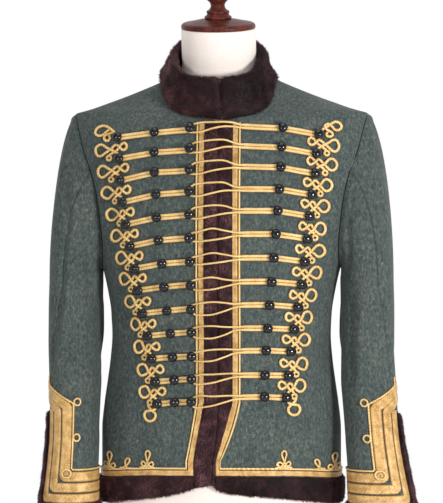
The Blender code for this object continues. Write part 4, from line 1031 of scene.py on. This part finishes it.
def cord(path, place, half=2.0, high=2.4, sides=8, step=1.75, closed=False, sampled=False):
    """path holds out, up and the height of the cord's underside; returns a chunk."""
    p = np.array(path, float) if sampled else spline(path, step, closed)
    half = p[:, 3:] if p.shape[1] > 3 else half
    k = turn(sides)

    def section(length):
        swell = 1 + PLY_SWELL * np.cos(2 * (k - 2 * pi * length / PLY / 2))
        return np.cos(k) * half * swell, p[:, 2:3] + (np.sin(k) * swell + 1) * high / 2

    return swept(p, place, closed, section, np.sin(k) * ROUND)


def ring(x, z, rx, rz, lift, n):
    """n points of a small closed ring of cord."""
    t = np.linspace(0, 2 * pi, n + 1)[:-1]
    return np.stack([x + rx * np.cos(t), z + rz * np.sin(t), np.full(n, lift)], 1)


def ball(u, w, lift, place):
    t = np.linspace(0, pi, BALL_ROWS + 2)[1:-1, None]
    k = turn(BALL_COLS)
    return tube(place(u + np.sin(t) * np.cos(k) * BUTTON_R, w + np.sin(t) * np.sin(k) * BUTTON_R,
                      lift + BUTTON_HIGH / 2 * (1 - np.cos(t)) + 0 * k))


def front_on(side):
    """Places on one front, measured outward from its edge."""
    return lambda u, w, h: place_front(u * side, w, h)


def frog_rows(side):
    """Place and height of the inner, middle and outer button of each row."""
    out = []
    for x_in, right, left in FROGS:
        x_mid, x_out, z_in, z_mid, z_out = right if side < 0 else left
        out.append([(x_in if side < 0 else INNER_BUTTON, z_in), (x_mid, z_mid), (x_out, z_out)])
    return out


def bar_level(points, u):
    """The bar bends softly at its middle button."""
    (u0, w0), (u1, w1), (u2, w2) = points
    u = np.asarray(u, float)
    first, second = (w1 - w0) / (u1 - u0), (w2 - w1) / (u2 - u1)
    soft = 9.0
    t = np.clip((u - u1 + soft) / (2 * soft), 0, 1)
    bend = np.where(u < u1, t ** 2, (1 - t) ** 2) * (np.abs(u - u1) < soft)
    return w1 + np.where(u < u1, first, second) * (u - u1) + (second - first) * soft * 0.5 * bend


LOOP_LEVEL = [
    (-60, 3.1), (-36, 3.1), (-28, 4), (-22.5, 7.2), (-16, FUR + 1), (15.5, FUR + 1), (21.5, 6.8), (33, 1.2),
    (41, 0.2), (60, 0)]
# The bar's thick cord goes over into the loop's thin one where it leaves the cloth
LOOP_HALF = [(-60, 1.5), (24, 1.5), (33, 1.8), (39, 2.35), (60, 2.35)]
rows_of = {side: frog_rows(side) for side, _ in SIDES}

# How far each loop's two cords stand from the line between its bar and its button, at these places
LOOP_AT = (-27.5, -8.0, 10.0)
# Upper cord, lower cord
LOOPS = [
    ((8.2, 5.2, 4), (-6, -3.6, -2.4)), ((10.4, 9.4, 7.6), (-5.4, -5, -3)),
    ((11.2, 10.4, 8.4), (-6.4, -4.4, -3.4)), ((11.2, 10.8, 9.2), (-7.4, -4.6, -2.4)),
    ((10.8, 11, 8.2), (-6.6, -4.8, -3.2)), ((8.8, 11.4, 6.6), (-5.6, -5.2, -4.4)),
    ((8.4, 11, 7), (-4.6, -4.2, -3.6)), ((8.4, 10.4, 6.2), (-8.2, -7.4, -4.6)),
    ((8, 9.6, 6.8), (-10.2, -10, -6)), ((8.4, 8.2, 5), (-9.6, -11.4, -7.6)),
    ((6.8, 7.4, 5.4), (-8.2, -9.4, -6.2)), ((5.6, 4.6, 3.8), (-8.4, -7.8, -4.8)),
    ((8.6, 5.8, 4.4), (-9.4, -8.2, -5.2))]


def frog_cords(side, row):
    pts = rows_of[side][row]
    far = pts[2][0] + 3.0
    wob = rng.normal(0, 0.3, 12)
    mids = np.linspace(far, 50.0, 8)
    if side < 0:
        chunks = []
        for d in (BAR_HALF / 2, -BAR_HALF / 2):
            path = [(u, float(bar_level(pts, u)) + d + 0.25 * wob[i], 0.0) for i, u in enumerate(mids)]
            path += [(pts[0][0] - 3.5, float(bar_level(pts, pts[0][0] - 3.5)) + d * 0.9, 0.0)]
            chunks.append(cord(path, front_on(side), 2.35, 2.6))
        return chunks
    # The left bar's two cords go on over the fur as one loop, round the right's inner button and back
    z_left, (x_in, z_right) = float(bar_level(pts, 38.0)), rows_of[-1][row][0]

    def loop_point(u, w):
        share = float(smooth((41.0 - u) / 84.0))
        return (u, z_left * (1 - share) + z_right * share + w, float(table(LOOP_LEVEL, 1, u)),
                float(table(LOOP_HALF, 1, u)))

    def half_loop(sign, offsets, over_fur, at_button, shake):
        """From the bar's far end over the fur to the button's far side."""
        run = [(41, 2.3 * sign), (33, 2.3 * sign), (24, over_fur), *zip(LOOP_AT[::-1], offsets[::-1]),
               (-x_in + 6.6, offsets[0] + at_button), (-x_in, 5.2 * sign), (-x_in - 4.4, 2.8 * sign)]
        return [(u, float(bar_level(pts, u)) + 2.3 * sign + 0.25 * s, 0.0, 2.35) for u, s in zip(mids, shake)] \
            + [loop_point(u, w) for u, w in run]

    up, low = LOOPS[row]
    path = half_loop(1, up, 3.2, -1.0, wob) + [loop_point(-x_in - 5.4, 0.0)] \
        + half_loop(-1, low, -2.6, 0.4, wob[::-1])[::-1]
    return [cord(spline(path, 1.35), place_front, high=2.5, sampled=True)]


for side, name in SIDES:
    balls = []
    for row in range(ROWS):
        node = "frog_%s_%02d" % (name, row + 1)
        make("cords_" + node, frog_cords(side, row), CORD, [node])
        pts = rows_of[side][row]
        place = front_on(side)
        balls += [ball(*pts[1], 0.6, place), ball(*pts[2], 0.6, place)]
        if side < 0:
            # The inner button stands over the cords on its shank
            balls.append(ball(*pts[0], 5.0, place))
            (u, w), k = pts[0], turn(8)
            u, w = u + SHANK_R * np.cos(k), w + SHANK_R * np.sin(k)
            balls.append(tube(np.stack([place(u, w, np.full(8, high)) for high in (1.0, 6.5)])))
    make("buttons_" + name, balls, BUTTON)

# Chain of cord loops at the outer ends: one cord per frog, worked into loops
# Out, up and height, which is 0.1 where none is given
CLUSTER = [
    (2.6, 6.6, 0.2), (6.4, 10.2, 0.8), (10.6, 14, 1.8), (14.4, 19.4, 0.6), (18.4, 23.4), (23.6, 23.8),
    (28.2, 19.4), (28.8, 12.6), (24.6, 6.8), (18.8, 7), (14.4, 11.4), (11, 15.8), (7.8, 20.6, 0.4),
    (5.2, 21.4, 0.6), (1.6, 18.4, 1.8), (-2, 15, 0.5), (-6.2, 13.2), (-10, 16.4), (-10.2, 21.6),
    (-6.4, 24.8), (-1.8, 22.4), (2.2, 17.2), (5.2, 13.2), (9, 9.6, 1.6), (12, 6, 0.8)]
# The small closed ring below each cluster: centre and radius
LINK, LINK_R = (12.6, 1.6), 3.5
TOP_RIGHT = [
    (3, 5, 0.2), (7.5, 9.6, 0.5), (12, 13.8, 1.4), (17.5, 17.8, 0.8), (24, 19.4), (30.6, 17.6), (35.6, 13),
    (36.4, 7.4), (31.2, 4.2), (23.6, 5.6), (17.4, 10.2), (12.8, 12.8), (8.8, 11.8, 0.3), (9, 7.8, 0.5),
    (13, 5.4, 1.2), (18, 5.4, 0.2), (22, 1.6), (20.4, -3.4), (15.6, -4.4), (12.4, -0.6), (14.2, 4.2)]
TOP_LEFT = [
    (3, 5, 0.2), (9, 9.4, 0.5), (15, 13, 1.4), (20.4, 17.4, 0.6), (26.5, 20.2), (32.8, 19), (35.4, 13.4),
    (32.2, 8), (26.4, 7.4), (22, 11.2), (18, 15), (13.8, 16.6, 0.2), (10, 13.4, 0.3), (11, 8.4, 1.2),
    (15.6, 6.6, 0.8), (20.6, 4.8), (22, 0.2), (18, -3), (13.4, -1), (13.8, 4.4)]

# The last loop hangs below the lowest frog
LOWEST = [
    (2, -5, 0.2), (7, -9.5, 0.6), (12.5, -10.6, 1.5), (19.2, -12.4, 0.2), (21.4, -18.5), (17.8, -25),
    (11, -26.2), (5, -22), (4.2, -15.4), (8.6, -10.8, 0.2), (14, -5, 0.6), (15.4, -1, 0.4)]


def knot(rows, x=0, z=0):
    """A cord's points, moved to x, z, with the height of those that lie on the cloth filled in."""
    return np.array([(*row, 0.1)[:3] for row in rows]) + (x, z, 0)


for side, name in SIDES:
    chunks, place = [], front_on(side)
    for row in range(ROWS):
        u, w = rows_of[side][row][2]
        shape = knot(CLUSTER if row else TOP_RIGHT if side < 0 else TOP_LEFT)
        # The upper rows' outer loops stand further out, and the lower rows' reach higher
        early, late = (max(0.0, 1 - (row - 1) / 3.2), float(smooth((row - 4) / 4.0))) if row else (0.0, 0.0)
        out = smooth((shape[:, 0] - 7.0) / 6.0)
        big = smooth((shape[:, 0] - 11.0) / 6.0) * smooth((shape[:, 1] - 5.0) / 2.0)
        shape[:, 0] += early * (4.2 * out + 2.2 * big)
        shape[:, 0] += (3.6 if side < 0 and row < 6 else 2.0 if row in (4, 6, 7) else 0.0) * big * (row > 0)
        shape[:, 1] += (2.4 * late - 1.4 * early) * big
        shape[1:-1, :2] += rng.normal(0, 0.3, (len(shape) - 2, 2))
        chunks.append(cord(shape + (u, w, 0), place, 2.2, 2.5, sides=7, step=1.5))
        if row:
            link = ring(LINK[0] + early * 4.2, LINK[1], LINK_R, LINK_R, 0.2, 8)
            chunks.append(cord(link + (u, w, 0), place, 2.0, 2.5, sides=8, step=1.0, closed=True))
    u, w = rows_of[side][-1][2]
    chunks.append(cord(knot(LOWEST, u, w), place, 2.2, 2.5, step=1.3))
    make("loops_" + name, chunks, CORD, ["chain_" + name])


# Flat lace: a ribbed band with a serrated edge, and a thin cord beside it

RIB, RIB_HIGH = 2.1, 0.08     # from one rib to the next, and how high they are


def band(path, place, width, thick):
    """path holds out and up; the band lies flat with fine slanting ribs."""
    q = np.array([-1.0, -0.97, -0.62, -0.25, 0.25, 0.62, 0.97, 1.0])
    top = np.array([0.0, 0.75, 1.0, 0.92, 0.92, 1.0, 0.75, 0.0])

    def section(length):
        phase = 2 * pi * length / RIB
        edge = 1 + 0.05 * np.cos(phase) * (np.abs(q) > 0.9)
        ribs = RIB_HIGH * np.cos(phase + 4.4 * np.abs(q)) * (top > 0.5)
        return q * width / 2 * edge, top * thick + ribs

    return swept(path, place, False, section, (q + 1) * LACE_W / 2)


# Height of the lace's upper end, its gap to the hem's fur, and its stations down the front and along the hem
LACE_TOP, HEM_GAP, N_DOWN, N_HEM = 875.0, 0.6, 620, 520


def lace_grid(side, offsets, heights, rib_amp, rib):
    """A band down the front, round the corner and along the hem, at distances from its inner edge."""
    offsets, heights = np.array(offsets), np.array(heights)
    lines = []
    for w in offsets:
        x = LACE_IN + w
        corner = line(HEM, 2, x) + HEM_GAP + w
        z1 = LACE_TOP + (corner - LACE_TOP) * np.linspace(0, 1, N_DOWN)
        a2 = np.linspace(float(angle_at(x, corner)), 180.0, N_HEM)[1:]
        lines.append((np.concatenate([angle_at(np.full(N_DOWN, x), z1), a2]),
                      np.concatenate([z1, hem_z(a2, LACE_LEVEL, 2) + HEM_GAP + w])))
    a, z = np.stack(lines, 2)
    length = run_length(body(a, z).mean(1))[:, None]
    q = (offsets - np.mean(offsets)) / (np.ptp(offsets) / 2)
    ribs = rib_amp * np.cos(2 * pi * length / rib + 4.4 * np.abs(q))
    h = heights + ribs * (heights > 0.6)
    p = on_body(a, z, LIFT + h, side)
    p[-1, :, 0] += SEAM * side
    uv = np.stack(np.broadcast_arrays(length, offsets), -1)
    return tube(p, False, uv.reshape(-1, 2))


HEM_LOOPS = {-1: [("trefoil", 107.0), ("loop", 142.0), ("trefoil", 168.0)],
             1: [("trefoil", 99.0), ("loop", 152.0), ("trefoil", 174.0)]}
TREFOIL = [
    (-11.5, 0.4, 0.2), (-7, 1, 0.6), (-1.8, 5, 1.6), (1.8, 12, 0.3), (3.6, 18.5), (0, 21.6), (-3.6, 18.5),
    (-1.8, 12), (1.4, 5.4), (4.6, 2, 0.9), (9, 4, 0.2), (8.6, 7.4), (5, 7.2), (1, 3.2), (-2.6, 1.2),
    (-6.6, 1.6), (-9.6, 4.4), (-7.2, 7.6), (-3.6, 6), (0.6, 1.4, 0.9), (6, 0.6, 0.6), (11.5, 0.4, 0.2)]
LACE_ACROSS = [0.2, 0.35, 1.6, 3.2, 5.6, 7.2, 8.5, 8.7]
LACE_HEIGHT = [0.0, 1.0, 1.4, 1.25, 1.25, 1.4, 1.0, 0.0]
SMALL_LOOP = [
    (8, 0.4, 0.2), (2, 1.4, 0.7), (-2.6, 6, 0.2), (-3.8, 11), (-0.6, 13.2), (2.6, 10.6), (1.6, 5.6),
    (-3, 1.2, 0.9), (-8, 0.4, 0.2)]

for side, name in SIDES:
    make("lace_band_" + name, [lace_grid(side, LACE_ACROSS, LACE_HEIGHT, RIB_HIGH, RIB)], LACE,
         ["lace_" + name])
    chunks = [lace_grid(side, 11.2 + 1.45 * np.cos(turn(7)), 1.2 * (1 + np.sin(turn(7))), 0.12, 3.1)]
    for kind, x in HEM_LOOPS[side]:
        z = float(line(HEM, 2, x)) + LACE_OUT - LACE_IN
        shape = knot(TREFOIL if kind == "trefoil" else SMALL_LOOP, *rng.normal(0, 0.3, 2))
        tilt = -0.3 if kind == "loop" else rng.uniform(-0.08, 0.08)
        shape[:, 1] *= 1.2
        shape[:, 0] += shape[:, 1] * tilt
        chunks.append(cord(shape + (x, z, 0), front_on(side), 1.5, 2.1, sides=7, step=1.0))
    make("edge_cord_" + name, chunks, CORD)

# Cuffs: three nested bands of lace with a thin cord inside them

# Place round the sleeve, height of the level part, width, height of the upper end
BANDS = [(38.4, 306.5, 14, 438), (54, 322.6, 14.4, 437.8), (70.2, 339, 15.2, 443.88)]
BAND_START, BAND_SLOPE, BAND_END, BAND_THICK = 20.0, 0.62, 236.0, 1.3
EDGE_S, EDGE_Z = 79.6, 349.2     # the thin cord beside the innermost band


def spike(s):
    """Height of the pointed top of the cuff's trim."""
    return 478.0 - (s - 30.0) * 0.6


def corner_path(points, step, ease):
    """Straight runs with slightly rounded corners."""
    out = [points[0]]
    for (x0, y0), (x1, y1), (x2, y2) in zip(points, points[1:], points[2:]):
        for ax, ay in ((x0, y0), (x2, y2)):
            size = sqrt((ax - x1) ** 2 + (ay - y1) ** 2)
            e = min(ease, size / 3)
            out.append((x1 + (ax - x1) / size * e, y1 + (ay - y1) / size * e))
    out.append(points[-1])
    p = np.array(out, float)
    s = run_length(p)
    return resample(p, s, int(s[-1] / step))


for side, name in SIDES:
    def cuff(u, w, h, side=side):
        return on_cuff(u, w, 0.6 + h, side)

    for k, (s0, z0, width, top) in enumerate(BANDS):
        points = [(BAND_START, top + (s0 - BAND_START) * BAND_SLOPE), (s0, top), (s0, z0), (BAND_END, z0)]
        path = corner_path(points if k else points[1:], 0.95, 2.5)
        make("cuff_band_%d_%s" % (k + 1, name), [band(path, cuff, width, BAND_THICK)], LACE,
             ["cuff_lace_%d_%s" % (k + 1, name)])
    s0, z0 = EDGE_S, EDGE_Z
    run = [(33.0, spike(33.0) + 12.0), (34.0, spike(34.0)), (s0, spike(s0)), (s0, z0), (BAND_END, z0)]
    run = corner_path(run, 1.2, 2.0)
    chunks = [cord(np.column_stack([run, np.zeros(len(run))]), cuff, 1.4, 2.4, sides=7, sampled=True)]
    # Two rings stand beside the cord, and one on its corner
    for cs, cz, lift, r in ((s0 + 5.6, spike(s0) + 2.0, 0.2, 5.0), (s0 + 5.6, 397.0, 0.2, 5.0),
                            (s0 - 6.0, z0 - 6.0, 1.8, 5.8)):
        chunks.append(cord(ring(cs, cz, r, r * 1.05, lift, 10), cuff, 1.5, 2.3, sides=7, step=1.1, closed=True))
    make("cuff_edge_" + name, chunks, CORD, ["cuff_cord_" + name])


# Dress form: torso and neck as one smooth skin, turned wood above and below

def form_ring(z, k):
    """Section of the torso, which lies back under the cloth and leaves room for the sleeves."""
    up = table(BODY, 1, min(z + 3.4, 958)) - 0.5
    limit = float(table(ARMHOLE, 1, z)) - 6.0 if z > 640 else 1e9
    limit = limit + 18 * float(smooth((z - 880) / 18.0)) if z > 880 else limit
    w = min(float(up), limit) - (7.0 if z < 650 else 1.0)
    yf = float(table(BODY, 2, min(z + 4, 958))) + 4.6
    yb = float(table(BODY, 3, min(z + 3, 958))) - 9.0
    e = 2 / (SQ - 0.5 * float(smooth((z - 600) / 60)))
    s, c = np.sin(k), np.cos(k)
    d = np.where(c >= 0, -yf, yb)
    return np.stack([w * spow(s, e), -d * spow(c, e), np.full(len(k), z)], 1)


def neck_ring(h, r, k):
    fore = np.cross(unit(LEAN), (1.0, 0, 0))
    fore = -fore if fore[1] > 0 else fore
    round_way = np.array((1.0, 0, 0)) * np.sin(k)[:, None] + fore * np.cos(k)[:, None]
    return NECK_LOW + unit(LEAN) * h + round_way * r


LEAN = NECK_TOP - NECK_LOW
K = turn(72)
NECK_LEN = float(np.linalg.norm(LEAN))
levels = np.concatenate([np.linspace(212, 880, 90), np.linspace(884, 940, 18)])
raw = np.array([form_ring(z, K) for z in levels])
# The form's skin is even: its sections are smoothed along the height
for _ in range(3):
    raw[1:-1] = (raw[:-2] + 2 * raw[1:-1] + raw[2:]) / 4
bottom = [raw[0] * np.array((f, g, 1)) + np.array((0, 0, -d)) for f, g, d in
          ((0.90, 0.88, 7.6), (0.955, 0.94, 7), (0.985, 0.975, 5), (0.997, 0.993, 2.4))]
neck = [neck_ring(h, NECK_R + more, K) for h, more in
        ((60, 4.5), (68, 2.0), (76, 0.6), (88, 0), (100, 0), (112, 0), (124, 0), (NECK_LEN - 1.2, 0),
         (NECK_LEN, -1.2))]
skin = np.concatenate([np.array(bottom), raw, np.array(neck)])
make("form_body", [tube(skin)], JERSEY, ["form_torso"])


def lathe(profile, centre, axis, sides):
    """Turned piece: corners of the profile are radius, height and softness."""
    pts = []
    prof = [np.array(p[:2], float) for p in profile]
    soft = [p[2] for p in profile]
    for i, p in enumerate(prof):
        if i in (0, len(prof) - 1) or soft[i] <= 0:
            pts.append(p)
            continue
        a, b = prof[i - 1], prof[i + 1]
        da, db = np.linalg.norm(a - p), np.linalg.norm(b - p)
        e = min(soft[i], da * 0.45, db * 0.45)
        q0, q2 = p + (a - p) / da * e, p + (b - p) / db * e
        for t in np.linspace(0, 1, 6):
            pts.append(q0 * (1 - t) ** 2 + p * 2 * t * (1 - t) + q2 * t * t)
    axis = unit(np.array(axis, float))
    u = np.array((1.0, 0, 0))
    v = np.cross(axis, u)
    k = turn(sides)
    rings = np.array([np.array(centre) + axis * h + (u * np.cos(k)[:, None] + v * np.sin(k)[:, None]) * r
                      for r, h in pts])
    return tube(rings)


UP = (0, 0, 1)
TURNED = [("cap", "neck_cap", NECK_TOP, LEAN, 96,
           [(NECK_R - 1.2, 0.3, 0), (NECK_R - 0.2, 1.6, 1), (NECK_R - 0.2, 5.6, 1.5), (NECK_R - 3.2, 8.4, 2),
            (NECK_R - 16, 10.8, 4), (25, 14.6, 0)]),
          ("finial", "finial", NECK_TOP, LEAN, 64,
           [(20.0, 14.9, 0), (21.2, 16.2, 1), (21.2, 18.6, 1), (17.8, 20.6, 1.5), (16.6, 23.2, 1.5),
            (18, 24.6, 0.8), (17.8, 27, 0.8), (12.6, 30, 2.5), (10.6, 35, 4), (12, 40, 3),
            (17.6, 45, 4), (19.4, 53, 6), (16.4, 63, 5), (9, 70.2, 4), (1.2, 71.8, 0)]),
          ("pole", "stand_pole", (0, 0, 0), UP, 48, [(15, 25.3, 0), (15, 196.0, 2), (14.0, 203.7, 0)]),
          ("base", "stand_base", (0, 0, 0), UP, 128,
           [(160, 0, 0), (168.6, 1.2, 1.5), (169.8, 5, 2), (169.8, 12.4, 3), (165, 14.8, 1), (161, 18.5, 4),
            (90, 22.4, 20), (36, 24.6, 5), (28, 25, 0)])]
for name, node, centre, axis, sides, profile in TURNED:
    make("turned_" + name, [lathe(profile, centre, axis, sides)], WOOD, [node])

# Two small steel pins hold the cap at the neck's sides
steel = material("steel_pin", Roughness=0.3, Metallic=1.0)
steel.link(steel.ramp(steel.noise(steel.coords(), 900), [(0.3, (0.35, 0.35, 0.37)), (0.7, (0.5, 0.5, 0.52))]),
           "Base Color")
pins = [lathe([(1.5, 0, 0), (1.5, 1.2, 0.4), (0.6, 1.7, 0)],
              NECK_LOW + unit(LEAN) * (NECK_LEN - 5.0) + np.array((x * (NECK_R - 0.4), 0, 0)),
              (x, 0, 0.0001), 14)
        for x in (-1, 1)]
make("neck_pins", pins, steel.owner)

# Sheets: each cloth piece's area, with its kind read from its name

for name, area in sheets.items():
    kind = name[6:].rsplit("_", 1)[0]

# Floor, light and camera

floor_mesh = bpy.data.meshes.new("floor")
floor_mesh.from_pydata([(1.7 * cos(t), 1.7 * sin(t), -0.0005) for t in turn(96)], [], [tuple(range(96))])
floor = bpy.data.objects.new("floor", floor_mesh)
bpy.context.scene.collection.objects.link(floor)
pale = material("floor", Roughness=0.8, Specular_IOR_Level=0.2)
pale.link(pale.ramp(pale.noise(pale.coords(), 3.0), [(0.3, (0.83, 0.83, 0.83)), (0.7, (0.86, 0.86, 0.86))]),
          "Base Color")
floor_mesh.materials.append(pale.owner)

# The studio is pale, and a little darker at the camera's side
world = bpy.data.worlds.new("studio")
bpy.context.scene.world = world
sky = Nodes(world, "Background", Strength=1.0)
light_across = sky.math("MULTIPLY_ADD", sky.part(sky.coords("Generated"), "Y"), 0.5, 0.5)
sky.link(sky.ramp(light_across, [(0.30, (0.42, 0.42, 0.43)), (0.72, WHITE)]), "Color")


def add_object(name, data, place, aim):
    """A light or the camera, turned to look at aim."""
    ob = bpy.data.objects.new(name, data)
    bpy.context.scene.collection.objects.link(ob)
    ob.location = place
    ob.rotation_euler = (Vector(aim) - Vector(place)).to_track_quat("-Z", "Y").to_euler()
    return ob


def light(name, place, size, power):
    data = bpy.data.lights.new(name, "AREA")
    data.shape, data.size, data.energy = "DISK", size, power
    add_object(name, data, place, (0, 0, 0.70))


light("soft_left", (-1.35, -2.55, 0.66), 0.33, 18)
light("soft_right", (1.75, -2.05, 0.66), 0.48, 53)
light("soft_top", (0.1, -0.9, 2.6), 1.6, 11)

CAMERA, AIM = Vector((0.131, -2.997, 0.680)), Vector((0, 0, 0.680))
camera_data = bpy.data.cameras.new("camera")
camera_data.sensor_fit, camera_data.sensor_width, camera_data.lens = "HORIZONTAL", 36.0, 155.3
over = Vector(SET_OVER * MM)
bpy.context.scene.camera = add_object("camera", camera_data, CAMERA - over, AIM - over)
bpy.context.scene.view_settings.view_transform = "Standard"
